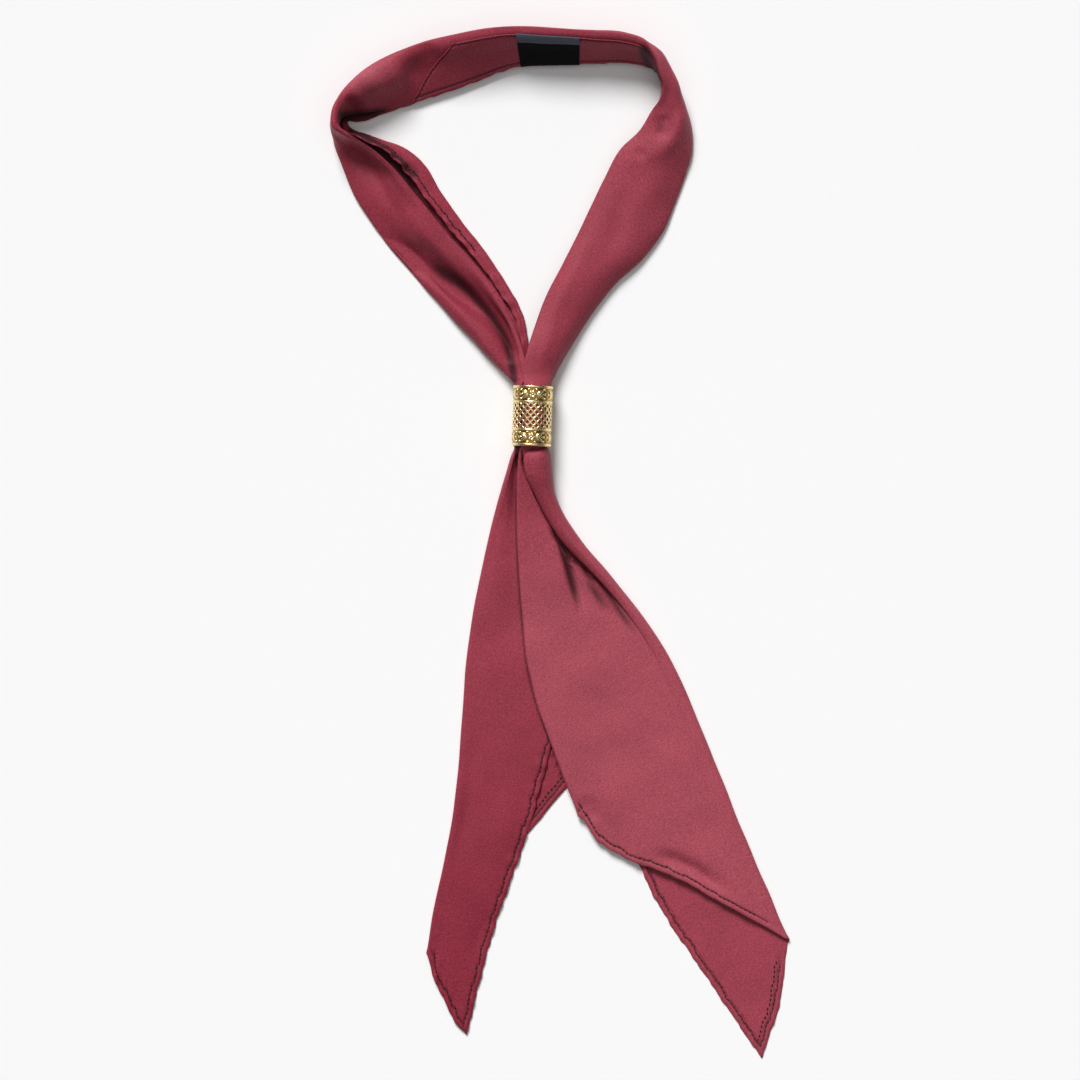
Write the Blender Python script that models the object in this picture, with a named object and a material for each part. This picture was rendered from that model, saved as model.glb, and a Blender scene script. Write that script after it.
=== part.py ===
"""Scarf tie: a long strip of satin crepe, folded lengthwise and looped as for a neck, its two
ends drawn through an openwork slide ring, laid flat on a surface.

The plan is X and Y, with the neckband towards +Y and the tails towards -Y, and +Z is up.
Tables are in millimetres and degrees. The object's origin is under the middle of its outline.
"""
import math

import bmesh
import bpy
import numpy as np
from mathutils import Matrix, Vector

MM = 0.001

# Cloth
WALL = 1.0                 # thickness of every cloth wall
REST = WALL / 2            # height of the middle of a wall that lies on the surface
GAP = 0.3                  # clearance between pieces
ORIGIN = (0.77, -1.01)     # where the object's origin is in the plan of the tables
PLY = WALL + 0.6           # from ply to ply where one lies on another

# Slide ring: its axis lies along +Y, turned by a few degrees, and it rests on the surface
RING_RADIUS = 10.0
RING_LENGTH = 30.0
RING_WALL = 1.0
RING_CENTRE = (-12.9, 62.4, RING_RADIUS)
RING_TURN = -1.9
BUNCH_SLACK = 0.35         # room for the bunched cloth to round its corners
BUNCH_RADIUS = RING_RADIUS - RING_WALL - GAP - WALL / 2 - BUNCH_SLACK

# The loop of the strip, from inside the ring up the left front, round the neck and down the
# right front. Each row is a section across the strip. x, y: its outermost point. heading: the
# way inwards from there. width: to the innermost point. foot, top: where the lower fold and
# the upper fold lie, as shares of the width. rise: height of the upper fold. low, mid, high:
# how far the outer ply stands out from the straight line between the folds. grip: 1 inside
# the ring, 0 where the strip lies free.
LOOP_COLUMNS = ("x", "y", "heading", "width", "foot", "top", "rise", "low", "mid", "high", "grip")
LEFT_LEG_ROWS = (
    (-22.9, 62.4, -2, 14.0, 0.0, 0.80, 15.0, 1.0, 0.0, -1.0, 1.0),
    (-22.6, 70.0, -2, 14.0, 0.0, 0.80, 15.0, 1.0, 0.0, -1.0, 1.0),
    (-22.6, 77.9, -2, 14.0, 0.0, 0.80, 15.0, 1.0, 0.0, -1.0, 1.0),
    (-25.2, 82.0, 8, 12.0, 0.0, 0.78, 9.8, 2.0, 0.5, -1.5, 0.10),
    (-32.9, 89.8, 20, 20.0, 0.0, 0.80, 9.2, 3.0, 0.8, -2.5, 0.0),
    (-43.4, 102.3, 20, 28.2, 0.0, 0.77, 8.8, 3.5, 1.0, -3.4, 0.0),
    (-56.9, 115.8, 19, 34.2, 0.0, 0.82, 8.4, 3.0, -1.5, -2.0, 0.0),
    (-70.9, 131.3, 20, 37.4, 0.0, 0.77, 8.8, 1.5, -2.2, 1.0, 0.0),
    (-83.9, 146.3, 21, 38.4, 0.0, 0.73, 9.8, -0.8, 0.8, 2.0, 0.0),
    (-94.9, 161.8, 20, 38.6, 0.0, 0.71, 11.5, -0.5, -1.2, 0.5, 0.0),
    (-103.6, 176.8, 17, 38.8, 0.0, 0.63, 14.5, 0.0, -3.0, -1.6, 0.0),
    (-109.7, 189.8, 12, 33.6, 0.02, 0.55, 18.0, 0.0, -2.6, -1.6, 0.0),
    (-113.2, 200.0, 6, 21.2, 0.05, 0.42, 21.0, 1.0, -0.5, -0.8, 0.0),
)
NECKBAND_ROWS = (
    (-113.7, 206.8, 0, 9.5, 0.12, 0.12, 23.0, 1.0, 1.0, 0.3, 0.0),
    (-113.0, 212.6, -22, 8.4, 0.25, 0.05, 24.0, 1.0, 0.8, 0.3, 0.0),
    (-109.4, 221.6, -46, 16.2, 0.56, 0.0, 23.0, 0.5, 0.8, 0.4, 0.0),
    (-100.6, 232.0, -55, 22.8, 0.74, 0.0, 21.0, 0.6, 1.2, 0.8, 0.0),
    (-86.0, 241.3, -66, 26.0, 0.80, 0.0, 19.5, 1.0, 1.4, 0.9, 0.0),
    (-68.6, 248.0, -72, 26.6, 0.82, 0.0, 18.5, 0.8, 1.2, 0.8, 0.0),
    (-48.8, 252.8, -75, 24.6, 0.81, 0.0, 18.5, 0.8, 1.0, 0.6, 0.0),
    (-25.9, 256.3, -80, 20.0, 0.78, 0.0, 19.5, 0.6, 0.8, 0.5, 0.0),
    (-4.0, 255.5, -88, 17.4, 0.75, 0.0, 20.5, 0.6, 0.8, 0.5, 0.0),
    (18.2, 254.0, -93, 15.6, 0.72, 0.0, 21.5, 0.8, 1.0, 0.6, 0.0),
    (33.4, 252.6, -98, 13.8, 0.68, 0.0, 22.0, 1.2, 1.5, 1.0, 0.0),
    (44.2, 249.8, -104, 12.4, 0.62, 0.12, 22.5, 2.2, 2.4, 1.5, 0.0),
)
RIGHT_LEG_ROWS = (
    (51.7, 244.7, -117, 9.8, 0.58, 0.55, 22.5, 3.0, 4.0, 3.0, 0.0),
    (57.2, 236.0, -144, 8.2, 0.50, 0.95, 21.5, 2.4, 3.8, 3.2, 0.0),
    (61.7, 227.4, -178, 9.6, 0.34, 1.0, 20.0, 2.6, 4.2, 3.6, 0.0),
    (65.2, 218.5, 172, 14.2, 0.18, 1.0, 17.5, 3.6, 4.8, 3.4, 0.0),
    (67.4, 208.0, 163, 21.7, 0.05, 1.0, 14.5, 4.8, 5.5, 2.6, 0.0),
    (67.3, 196.8, 163, 27.8, 0.0, 1.0, 12.0, 4.6, 5.5, 3.0, 0.0),
    (64.6, 184.8, 163, 35.2, 0.0, 1.0, 10.5, 4.5, 5.0, 3.5, 0.0),
    (59.3, 169.8, 163, 38.1, 0.0, 1.0, 9.5, 4.5, 4.5, 2.5, 0.0),
    (53.1, 155.8, 162, 38.1, 0.0, 1.0, 9.0, 4.0, 4.0, 2.5, 0.0),
    (42.9, 141.8, 161, 35.0, 0.0, 1.0, 9.0, 4.0, 4.0, 3.0, 0.0),
    (30.0, 129.8, 163, 29.0, 0.0, 1.0, 9.5, 4.0, 4.5, 3.5, 0.0),
    (19.6, 117.3, 163, 25.6, 0.0, 1.0, 10.5, 4.0, 4.5, 3.5, 0.0),
    (10.7, 103.8, 165, 22.2, 0.0, 1.0, 12.5, 4.0, 4.5, 3.0, 0.0),
    (3.6, 92.3, 169, 19.0, 0.0, 1.0, 15.5, 4.0, 4.5, 3.0, 0.0),
    (-1.2, 82.6, 175, 16.2, 0.0, 1.0, 17.0, 4.0, 4.5, 2.5, 0.10),
    (-2.4, 77.9, 178, 15.0, 0.0, 1.0, 16.0, 3.0, 3.5, 2.5, 1.0),
    (-2.6, 70.0, 178, 15.0, 0.0, 1.0, 16.0, 3.0, 3.5, 2.5, 1.0),
    (-2.9, 62.4, 178, 15.0, 0.0, 1.0, 16.0, 3.0, 3.5, 2.5, 1.0),
)
# What lies under and behind the outer ply, at the same sections, by the number of the row
# from the left end: reach is how far in the ply on the surface goes, as a share of the width,
# flap the width of the hem turned back over it, and turn_in the share of the outer ply that
# the ply behind the upper fold comes back.
INSIDE_COLUMNS = ("row", "reach", "flap", "turn_in")
INSIDE_ROWS = (
    (0, 0.90, 2.0, 0.12),
    (3, 0.95, 2.0, 0.12),
    (5, 1.00, 3.0, 0.12),
    (7, 1.00, 6.5, 0.20),
    (9, 1.00, 8.5, 0.30),
    (10, 1.00, 11.5, 0.35),
    (11, 1.00, 11.0, 0.40),
    (12, 1.00, 7.0, 0.55),
    (13, 1.00, 2.2, 0.70),
    (14, 1.00, 1.0, 0.75),
    (16, 1.00, 0.8, 0.85),
    (17, 1.00, 0.8, 0.93),
    (24, 1.00, 0.8, 0.95),
    (26, 1.00, 0.8, 0.60),
    (28, 0.95, 2.0, 0.30),
    (30, 0.80, 4.0, 0.14),
    (36, 0.75, 4.0, 0.14),
    (38, 0.55, 2.0, 0.14),
    (42, 0.55, 2.0, 0.14),
)

# Tails. Every row is a line across the folded strip; the last one is the hemmed end.
# fold, hem and back are the plan places of the fold and of the strip's two long edges,
# lift is the height of the upper ply, bulge how far the middle of the upper ply's line bows
# towards the end, and grip 1 inside the ring.
LEFT_TAIL_COLUMNS = ("fold_x", "fold_y", "hem_x", "hem_y", "back_x", "back_y", "lift", "bulge", "grip")
LEFT_TAIL_ROWS = (
    (-22.9, 62.1, -12.0, 62.1, -12.0, 62.1, 14.0, 0.0, 1.0),
    (-23.3, 54.0, -12.0, 54.0, -12.0, 54.0, 14.0, 0.0, 1.0),
    (-23.6, 46.9, -13.0, 46.9, -12.5, 46.9, 13.0, 0.0, 1.0),
    (-25.3, 41.8, -15.0, 42.3, -13.5, 41.3, 8.5, 0.0, 0.10),
    (-29.4, 23.0, -13.5, 24.0, -11.0, 23.0, 5.5, 0.0, 0.0),
    (-34.6, 1.8, -4.0, 4.3, -3.0, 0.8, 3.8, 0.0, 0.0),
    (-38.4, -14.3, 3.0, -11.8, 2.0, -15.3, 3.4, 0.0, 0.0),
    (-41.7, -31.8, 7.0, -29.3, 6.5, -32.8, 3.2, 0.0, 0.0),
    (-45.3, -54.3, 7.5, -54.3, 11.0, -53.3, 3.0, 0.0, 0.0),
    (-47.2, -76.8, 3.4, -79.3, 15.0, -71.8, 2.8, 0.0, 0.0),
    (-48.8, -99.3, -3.2, -101.8, 18.0, -79.3, 2.8, 0.0, 0.0),
    (-50.2, -116.8, -8.1, -119.3, 19.0, -85.3, 2.6, 0.0, 0.0),
    (-52.7, -136.8, -14.3, -141.8, 19.5, -90.8, 2.6, 0.2, 0.0),
    (-56.3, -156.8, -23.4, -167.8, 19.5, -95.3, 2.5, 0.4, 0.0),
    (-60.1, -174.3, -31.7, -191.3, 19.5, -98.8, 2.4, 0.8, 0.0),
    (-63.3, -190.3, -39.6, -219.8, 19.5, -101.8, 2.3, 1.4, 0.0),
    (-65.6, -205.4, -45.8, -246.2, 19.5, -104.3, 2.2, 2.2, 0.0),
)
# On the right tail left is the roll on the inner side, fold the fold on the right, hem the
# lower ply's long edge. roll, roll_rise: width and height of the rolled fold on the right.
# dip: height of the trough beside it. panel, inner: heights of the upper ply at its middle
# and at the left roll. hang: how far the upper ply's line hangs past a straight one near the
# left roll. bulge: how far the lower ply's line bows towards the end.
RIGHT_TAIL_COLUMNS = ("left_x", "left_y", "fold_x", "fold_y", "hem_x", "hem_y",
                      "roll", "roll_rise", "dip", "panel", "inner", "hang", "bulge", "grip")
RIGHT_TAIL_ROWS = (
    (-17.9, 62.1, -2.9, 62.1, -8.0, 62.1, 8.0, 16.0, 12.0, 14.0, 13.0, 0.0, 0.0, 1.0),
    (-18.2, 54.0, -3.1, 54.0, -8.2, 54.0, 8.0, 16.0, 12.0, 14.0, 13.0, 0.0, 0.0, 1.0),
    (-18.6, 46.9, -3.4, 46.9, -8.5, 46.9, 8.0, 16.0, 12.0, 14.0, 13.0, 0.0, 0.0, 1.0),
    (-20.0, 41.0, -3.0, 41.0, -11.0, 40.8, 9.0, 13.5, 9.5, 11.0, 12.0, 0.0, 0.0, 0.10),
    (-20.6, 25.0, -1.0, 25.0, -9.5, 24.0, 8.8, 11.5, 5.4, 8.5, 9.6, 0.0, 0.0, 0.0),
    (-20.7, 12.8, 3.6, 12.3, -5.5, 11.5, 8.4, 9.5, 3.8, 7.5, 8.7, 0.0, 0.0, 0.0),
    (-20.4, 0.8, 11.8, 0.3, 2.0, -2.0, 8.0, 8.5, 3.4, 7.2, 8.2, 0.0, 0.0, 0.0),
    (-19.1, -19.3, 25.4, -15.8, 12.5, -24.3, 7.5, 7.5, 4.0, 6.8, 7.6, 0.0, 0.0, 0.0),
    (-17.6, -41.8, 40.2, -34.3, 19.0, -49.3, 7.0, 6.5, 4.4, 6.2, 7.2, 0.0, 0.0, 0.0),
    (-15.1, -61.8, 52.3, -51.8, 23.5, -75.3, 6.5, 5.5, 4.4, 5.8, 7.0, 0.0, 0.0, 0.0),
    (-11.1, -79.3, 62.4, -71.3, 28.0, -104.3, 6.0, 4.8, 4.2, 5.2, 6.8, 0.0, 0.0, 0.0),
    (-6.1, -94.3, 71.2, -92.8, 33.2, -133.3, 6.0, 4.4, 4.0, 4.6, 6.6, 0.0, 0.0, 0.0),
    (-1.1, -107.8, 81.0, -116.8, 40.6, -160.3, 6.0, 4.2, 3.6, 4.2, 6.2, 0.3, 0.3, 0.0),
    (3.9, -121.3, 92.0, -144.3, 53.8, -186.8, 6.0, 4.0, 3.4, 4.2, 5.6, 1.0, 0.8, 0.0),
    (7.4, -129.8, 103.8, -171.8, 73.4, -215.8, 6.0, 3.8, 3.2, 4.4, 4.6, 2.6, 1.4, 0.0),
    (10.2, -136.8, 115.2, -199.0, 101.6, -257.6, 6.0, 3.2, 3.2, 4.6, 3.8, 6.0, 2.6, 0.0),
)

# Largest soft troughs of the cloth in plan: from, to, half width at each end, depth
TROUGH_COLUMNS = ("x0", "y0", "x1", "y1", "wide0", "wide1", "depth")
RIGHT_TAIL_TROUGHS = (
    (-2.5, 3.0, 11.5, -43.0, 1.6, 4.0, 1.8),
    (3.5, -2.0, 26.5, -38.0, 1.6, 4.0, 1.4),
    (8.5, -7.0, 46.5, -54.5, 1.6, 4.5, 1.4),
    (62.0, -158.0, 78.0, -172.0, 3.0, 4.5, 1.0),
)

LOOP_ROWS = LEFT_LEG_ROWS + NECKBAND_ROWS + RIGHT_LEG_ROWS
FOOT_FOLD = 1.6            # half the thickness of the fold on the surface
FOOT_LEAN = 0.3            # how far in the outer ply starts from that fold
TOP_FOLD = 1.7             # half the thickness of the upper fold
HEM_FOLD = 1.2             # half the thickness of the turned-back hem
HEM_OPEN = 0.4             # how far the turned-back hem's edge stands open
LEFT_ROLL = 1.1            # half the thickness of the roll along the right tail's inner side
LEFT_RETURN = 5.0          # how far the ply under that roll reaches back
BESIDE_ROLL = 1.0          # from the rolled fold on the right to the trough beside it
TURN_UNDER = 2.0           # how far in the lower ply leaves that fold
PANEL_SHARES = (("low", 0.25), ("mid", 0.5), ("high", 0.75))    # where the outer ply is shaped
LEFT_SEAM, RIGHT_SEAM = 18.9, 22.7      # rows where the stretches of the strip part
# Knots of the left tail's upper ply: share of the way from the fold to the hem, of the bulge
# and of the lift
LEFT_UPPER_LINE = ((0.25, 0.9, 1.0), (0.5, 1.0, 0.9), (0.8, 0.95, 0.5), (1.0, 0.0, 0.25))
# Knots of the right tail's upper ply: share of the way to the left roll, share of the hang
UPPER_PLY_LINE = ((0.25, 0.15), (0.5, 0.28), (0.72, 0.97), (0.88, 0.93))

# The two strands in the ring share it along a slanted line between two corners of the bore.
# Angles place each strand's knots on its round side, shares its spare cloth on the line.
LEFT_CORNERS = (286.0, 135.0)
RIGHT_CORNERS = (-60.5, 122.0)
LEFT_LEG_ANGLES = (272, 257, 235, 208, 182, 168, 157, 148)
RIGHT_LEG_ANGLES = (-53, -42, -28, -5, 25, 60, 92, 112)
LEFT_TAIL_ANGLES = (262, 225, 185, 155)
RIGHT_TAIL_ANGLES = (-34, -4, 24, 46, 66, 84, 98, 109)
LEG_SHARES = (0.34, 0.24, 0.12)
TAIL_SHARES = (0.30, 0.15)

# Steps from each knot to the next across a section
LOOP_STEPS = (1, 1, 2, 2, 1, 1, 2, 2, 2, 2, 2, 2, 2, 1, 1)
LEFT_TAIL_STEPS = (1, 1, 1, 2, 2, 2, 2, 2, 2)
RIGHT_TAIL_STEPS = (1, 2, 2, 2, 3, 3, 2, 2, 2, 2, 2, 2, 1)

# Facing and label on the neck side of the band: knots across, and rows at the top and at the
# bottom of their ends
FACING_ACROSS = (13.15, 13.5, 14.0, 14.5, 14.95)
FACING_LEFT, FACING_RIGHT = (18.75, 17.2), (23.7, 24.2)
LABEL_ACROSS = (13.3, 13.8, 14.4, 14.9)
LABEL_LEFT, LABEL_RIGHT = (20.2, 20.2), (21.67, 21.67)

LATTICE_HALF = 6.6         # half the length of the openwork band
LATTICE_ROWS = 8
LATTICE_PITCH = 2 * LATTICE_HALF / LATTICE_ROWS
LATTICE_BELOW = 0.3        # how far the openwork band lies below the rims
LATTICE_DEPTH = 0.45
# Rims of the ring, as distance along it and distance below its largest radius: beside the
# openwork band counted from that band's end, and at the ring's ends counted from the end
INNER_RIM = ((0.5, 0.1), (1.0, 0.0), (1.6, 0.3))
END_RIM = ((1.3, 0.3), (0.8, 0.0), (0.3, 0.0), (0.0, 0.3))
RING_STEPS = 40
SHARP_FROM = 18.0          # steeper edges of the ring are shaded sharp

CLOTH_COLOUR = (0.36, 0.055, 0.085, 1.0)
LABEL_COLOUR = (0.006, 0.006, 0.008, 1.0)
GOLD_COLOUR = (0.83, 0.62, 0.22, 1.0)


def table(columns, rows):
    """The columns of a table, each as an array, by name."""
    return dict(zip(columns, np.array(rows, dtype=float).T))


def curve_through(places, values, wanted, slopes):
    """Read a smooth curve through values at the wanted places, from the slope at each value."""
    places, wanted = np.asarray(places, float), np.asarray(wanted, float)
    first = np.clip(np.searchsorted(places, wanted, side="right") - 1, 0, len(places) - 2)
    step = places[first + 1] - places[first]
    t = (wanted - places[first]) / step
    shape = (-1,) + (1,) * (values.ndim - 1)
    t, step = t.reshape(shape), step.reshape(shape)
    start, end = values[first], values[first + 1]
    leave, arrive = slopes[first] * step, slopes[first + 1] * step
    return ((1 + 2 * t) * (1 - t) ** 2 * start + t * (1 - t) ** 2 * leave
            + t ** 2 * (3 - 2 * t) * end + t ** 2 * (t - 1) * arrive)


def flowing(places, values, wanted):
    """A curve that runs freely through its values, as a cloth edge does."""
    values = np.asarray(values, float)
    return curve_through(places, values, wanted, np.gradient(values, places, axis=0))


def steady(places, values, wanted):
    """A curve that never swings past its values, so plies stay flat and folds stay round."""
    values = np.asarray(values, float)
    shape = (-1,) + (1,) * (values.ndim - 1)
    rates = np.diff(values, axis=0) / np.diff(places).reshape(shape)
    before, after = rates[:-1], rates[1:]
    same_way = before * after > 0
    total = np.where(same_way, before + after, 1.0)
    slopes = np.zeros_like(values)
    slopes[1:-1] = np.where(same_way, 2 * before * after / total, 0.0)
    slopes[0], slopes[-1] = rates[0], rates[-1]
    return curve_through(places, values, wanted, slopes)


def ring_frame():
    """The ring's own axes: across it, and along it towards the neck."""
    turn = math.radians(RING_TURN)
    across = np.array((math.cos(turn), math.sin(turn), 0.0))
    along = np.array((-math.sin(turn), math.cos(turn), 0.0))
    return across, along


def on_circle(angle, radius=BUNCH_RADIUS):
    return np.array((radius * math.cos(math.radians(angle)), radius * math.sin(math.radians(angle))))


def bunch(angles, corner_low, corner_high, shares):
    """Knots of a strand inside the ring: along its round side, and in at both corners.

    The two strands meet at a slanted line between the corners. angles are the knots on the
    round side; shares are how far in from each corner the spare cloth reaches on that line.
    """
    low, high = on_circle(corner_low), on_circle(corner_high)
    inner = [low + (high - low) * share for share in shares]
    outer = [high + (low - high) * share for share in reversed(shares)]
    round_side = [on_circle(angle) for angle in angles]
    return np.array(inner + [low] + round_side + [high] + outer)


def grip_places(knots, stations):
    """Put a strand's knots in the ring, one copy for each station along the ring's axis."""
    across, along = ring_frame()
    centre = np.array(RING_CENTRE)
    return np.array([centre + along * station + np.outer(knots[:, 0], across)
                     + np.outer(knots[:, 1], (0.0, 0.0, 1.0)) for station in stations])


def places_by_grip(free, strand, row, y_column):
    """Knots that lie free, drawn into the ring's bunch by each row's grip."""
    stations = (np.asarray(row[y_column]) - RING_CENTRE[1]) / math.cos(math.radians(RING_TURN))
    grip = row["grip"][:, None, None]
    return free * (1 - grip) + grip_places(strand, stations) * grip


def loop_section(row, reach, flap, turn_in):
    """Knots across one section of the loop, as distance inwards and height: from the hem's
    edge under the strip, round the folds, to the edge of the ply behind the upper fold."""
    inset, width = WALL / 2, row["width"] - WALL
    foot = inset + row["foot"] * width
    start = np.array((foot + FOOT_LEAN, REST + FOOT_FOLD))
    end = np.array((inset + row["top"] * width, row["rise"]))
    slant = (end - start) / np.linalg.norm(end - start)
    end[0] -= TOP_FOLD * slant[1] * row["top"]
    length = np.linalg.norm(end - start)
    chord = (end - start) / length
    out = np.array((-chord[1], chord[0]))
    panel = [start + (end - start) * share + out * row[name] for name, share in PANEL_SHARES]
    fold_start = end - chord * TOP_FOLD
    fold_top = end - out * TOP_FOLD
    fold_end = fold_start - out * 2 * TOP_FOLD
    sink = min(row["high"], 0.0) + min(row["mid"], 0.0) / 2
    far_back = np.clip((turn_in - 0.15) / 0.15, 0.0, 1.0)
    edge = fold_end - chord * max(length * turn_in - TOP_FOLD, 1.0) + out * sink * far_back
    far = inset + width * reach
    hem = far - HEM_FOLD
    over = REST + 2 * HEM_FOLD
    lower = [(hem - flap, over + HEM_OPEN), (hem - flap / 2, over + HEM_OPEN / 2), (hem, over),
             (far, REST + HEM_FOLD), (hem, REST), ((far + foot) / 2, REST),
             (foot + FOOT_FOLD, REST), (foot, REST + FOOT_FOLD)]
    lower = [np.array(knot) for knot in lower]
    return np.array(lower + panel + [fold_start, fold_top, fold_end, (fold_end + edge) / 2, edge])


def loop_knots():
    """Knots of the whole loop, row by row, from inside the ring round the neck and back."""
    rows = table(LOOP_COLUMNS, LOOP_ROWS)
    inside = table(INSIDE_COLUMNS, INSIDE_ROWS)
    numbers = np.arange(len(LOOP_ROWS))
    under = [steady(inside["row"], inside[name], numbers) for name in ("reach", "flap", "turn_in")]
    free = []
    for number, values in enumerate(LOOP_ROWS):
        row = dict(zip(LOOP_COLUMNS, values))
        section = loop_section(row, *(column[number] for column in under))
        heading = math.radians(row["heading"])
        inwards = np.array((math.cos(heading), math.sin(heading), 0.0))
        free.append(np.array((row["x"], row["y"], 0.0)) + np.outer(section[:, 0], inwards)
                    + np.outer(section[:, 1], (0.0, 0.0, 1.0)))
    half = len(LEFT_LEG_ROWS) + len(NECKBAND_ROWS) // 2
    left = {name: column[:half] for name, column in rows.items()}
    right = {name: column[half:] for name, column in rows.items()}
    free = np.array(free)
    left_strand = bunch(LEFT_LEG_ANGLES, *LEFT_CORNERS, LEG_SHARES)
    right_strand = bunch(RIGHT_LEG_ANGLES, *RIGHT_CORNERS, LEG_SHARES)
    return np.concatenate((places_by_grip(free[:half], left_strand, left, "y"),
                           places_by_grip(free[half:], right_strand, right, "y")))


def unit(vector):
    return vector / np.linalg.norm(vector)


def tail_points(row, names):
    return (np.array((row[name + "_x"], row[name + "_y"], 0.0)) for name in names)


def endwards(start, end):
    """The way across a line from start to end that points to the tail's end."""
    way = np.cross(unit(end - start), (0.0, 0.0, 1.0))
    return way if way[1] < 0 else -way


def left_tail_knots():
    """Knots of the left tail: lower ply from its long edge, fold, upper ply to its hem."""
    free = []
    up = np.array((0.0, 0.0, 1.0))
    for values in LEFT_TAIL_ROWS:
        row = dict(zip(LEFT_TAIL_COLUMNS, values))
        fold, hem, back = tail_points(row, ("fold", "hem", "back"))
        fold = fold + unit(hem - fold) * WALL / 2
        lift, bow = row["lift"], endwards(fold, hem) * row["bulge"]
        round_in = min((lift - REST) / 2, np.linalg.norm(hem - fold) / 6)
        lower = [back + (fold - back) * share + up * REST for share in (0.0, 0.4, 0.75)]
        turned = [fold + unit(back - fold) * round_in + up * REST, fold + up * (REST + lift) / 2,
                  fold + unit(hem - fold) * round_in + up * lift]
        upper = [fold + (hem - fold) * share + bow * sag + up * (REST + PLY + (lift - REST - PLY) * high)
                 for share, sag, high in LEFT_UPPER_LINE]
        free.append(lower + turned + upper)
    rows = table(LEFT_TAIL_COLUMNS, LEFT_TAIL_ROWS)
    return places_by_grip(np.array(free), bunch(LEFT_TAIL_ANGLES, *LEFT_CORNERS, TAIL_SHARES),
                          rows, "fold_y")


def right_tail_knots():
    """Knots of the right tail: lower ply from its hem, rolled fold, upper ply, left roll."""
    free = []
    up = np.array((0.0, 0.0, 1.0))
    for values in RIGHT_TAIL_ROWS:
        row = dict(zip(RIGHT_TAIL_COLUMNS, values))
        left, fold, hem = tail_points(row, ("left", "fold", "hem"))
        across = unit(left - fold)
        left, fold = left - across * WALL / 2, fold + across * WALL / 2
        width, roll = np.linalg.norm(left - fold), row["roll"]
        inner, dip_at, last = row["inner"], roll + BESIDE_ROLL, width - LEFT_ROLL
        hang, bow = endwards(fold, left) * row["hang"], endwards(fold, hem) * row["bulge"]
        upper = [fold + across * (dip_at + (last - dip_at) * share) + hang * sag
                 + up * (row["panel"] * (1 - share) + inner * share) for share, sag in UPPER_PLY_LINE]
        back = last - min(LEFT_RETURN, (last - dip_at) * 0.6)
        free.append([hem + up * REST, (hem + fold) / 2 + bow + up * REST,
                     fold + unit(hem - fold) * TURN_UNDER + up * REST,
                     fold + up * (REST + row["roll_rise"]) / 2,
                     fold + across * roll / 2 + up * row["roll_rise"],
                     fold + across * dip_at + up * row["dip"]] + upper +
                    [fold + across * last + up * inner, left + up * (inner - LEFT_ROLL),
                     fold + across * last + up * (inner - 2 * LEFT_ROLL),
                     fold + across * back + up * (inner - 2 * LEFT_ROLL)])
    rows = table(RIGHT_TAIL_COLUMNS, RIGHT_TAIL_ROWS)
    return places_by_grip(np.array(free), bunch(RIGHT_TAIL_ANGLES, *RIGHT_CORNERS, TAIL_SHARES),
                          rows, "fold_y")


class Cloth:
    """A cloth surface through knots: rows of knots along the strip, each row across it."""

    def __init__(self, knots, troughs=(), first_knot=0, last_knot=0):
        self.knots = knots
        steps = np.linalg.norm(np.diff(knots, axis=0), axis=2).mean(axis=1)
        self.lengths = np.concatenate(([0.0], np.cumsum(steps)))
        self.troughs = troughs
        self.first_knot, self.last_knot = first_knot, last_knot

    def points(self, across, along):
        """Points where across counts knots and along counts rows: one line for each along."""
        numbers = np.arange(self.knots.shape[1])
        lines = []
        for row in self.knots:
            places = np.concatenate(([0.0], np.cumsum(np.linalg.norm(np.diff(row, axis=0), axis=1))))
            lines.append(steady(places, row, np.interp(across, numbers, places)))
        wanted = np.interp(along, np.arange(len(self.knots)), self.lengths)
        points = flowing(self.lengths, np.array(lines), wanted)
        points = self.pressed(points, np.asarray(across))
        points[..., 2] = np.maximum(points[..., 2], REST)
        return points

    def pressed(self, points, across):
        """Press the soft troughs into the ply between the first and the last knot."""
        if not self.troughs:
            return points
        ply = np.clip((across - self.first_knot) * 2, 0, 1) * np.clip((self.last_knot - across) * 2, 0, 1)
        for values in self.troughs:
            trough = dict(zip(TROUGH_COLUMNS, values))
            start = np.array((trough["x0"], trough["y0"]))
            run = np.array((trough["x1"], trough["y1"])) - start
            share = ((points[..., :2] - start) @ run) / (run @ run)
            near = np.clip(share, 0, 1)
            away = np.linalg.norm(points[..., :2] - start - near[..., None] * run, axis=-1)
            wide = trough["wide0"] + (trough["wide1"] - trough["wide0"]) * near
            fade = np.sin(np.pi * np.clip(0.15 + share * 0.85, 0, 1)) ** 0.7
            points[..., 2] -= trough["depth"] * np.exp(-(away / wide) ** 2) * fade * ply
        return points

    def outwards(self, across, along):
        """Unit normals of the upper side at the same places."""
        step = 0.02
        side = self.points(np.asarray(across) + step, along) - self.points(np.asarray(across) - step, along)
        ahead = self.points(across, np.asarray(along) + step) - self.points(across, np.asarray(along) - step)
        normals = np.cross(side, ahead)
        normals /= np.linalg.norm(normals, axis=-1, keepdims=True)
        return normals * np.sign(normals[..., 2:3])


def steps_between(samples):
    """Places across the cloth: so many steps from each knot to the next."""
    places = [0.0]
    for knot, count in enumerate(samples):
        places += [knot + (step + 1) / count for step in range(count)]
    return np.array(places)


def material(name, colour, roughness, metallic):
    made = bpy.data.materials.new(name)
    made.use_nodes = True
    shader = made.node_tree.nodes["Principled BSDF"]
    shader.inputs["Base Color"].default_value = colour
    shader.inputs["Roughness"].default_value = roughness
    shader.inputs["Metallic"].default_value = metallic
    made.diffuse_color = colour
    return made


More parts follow.
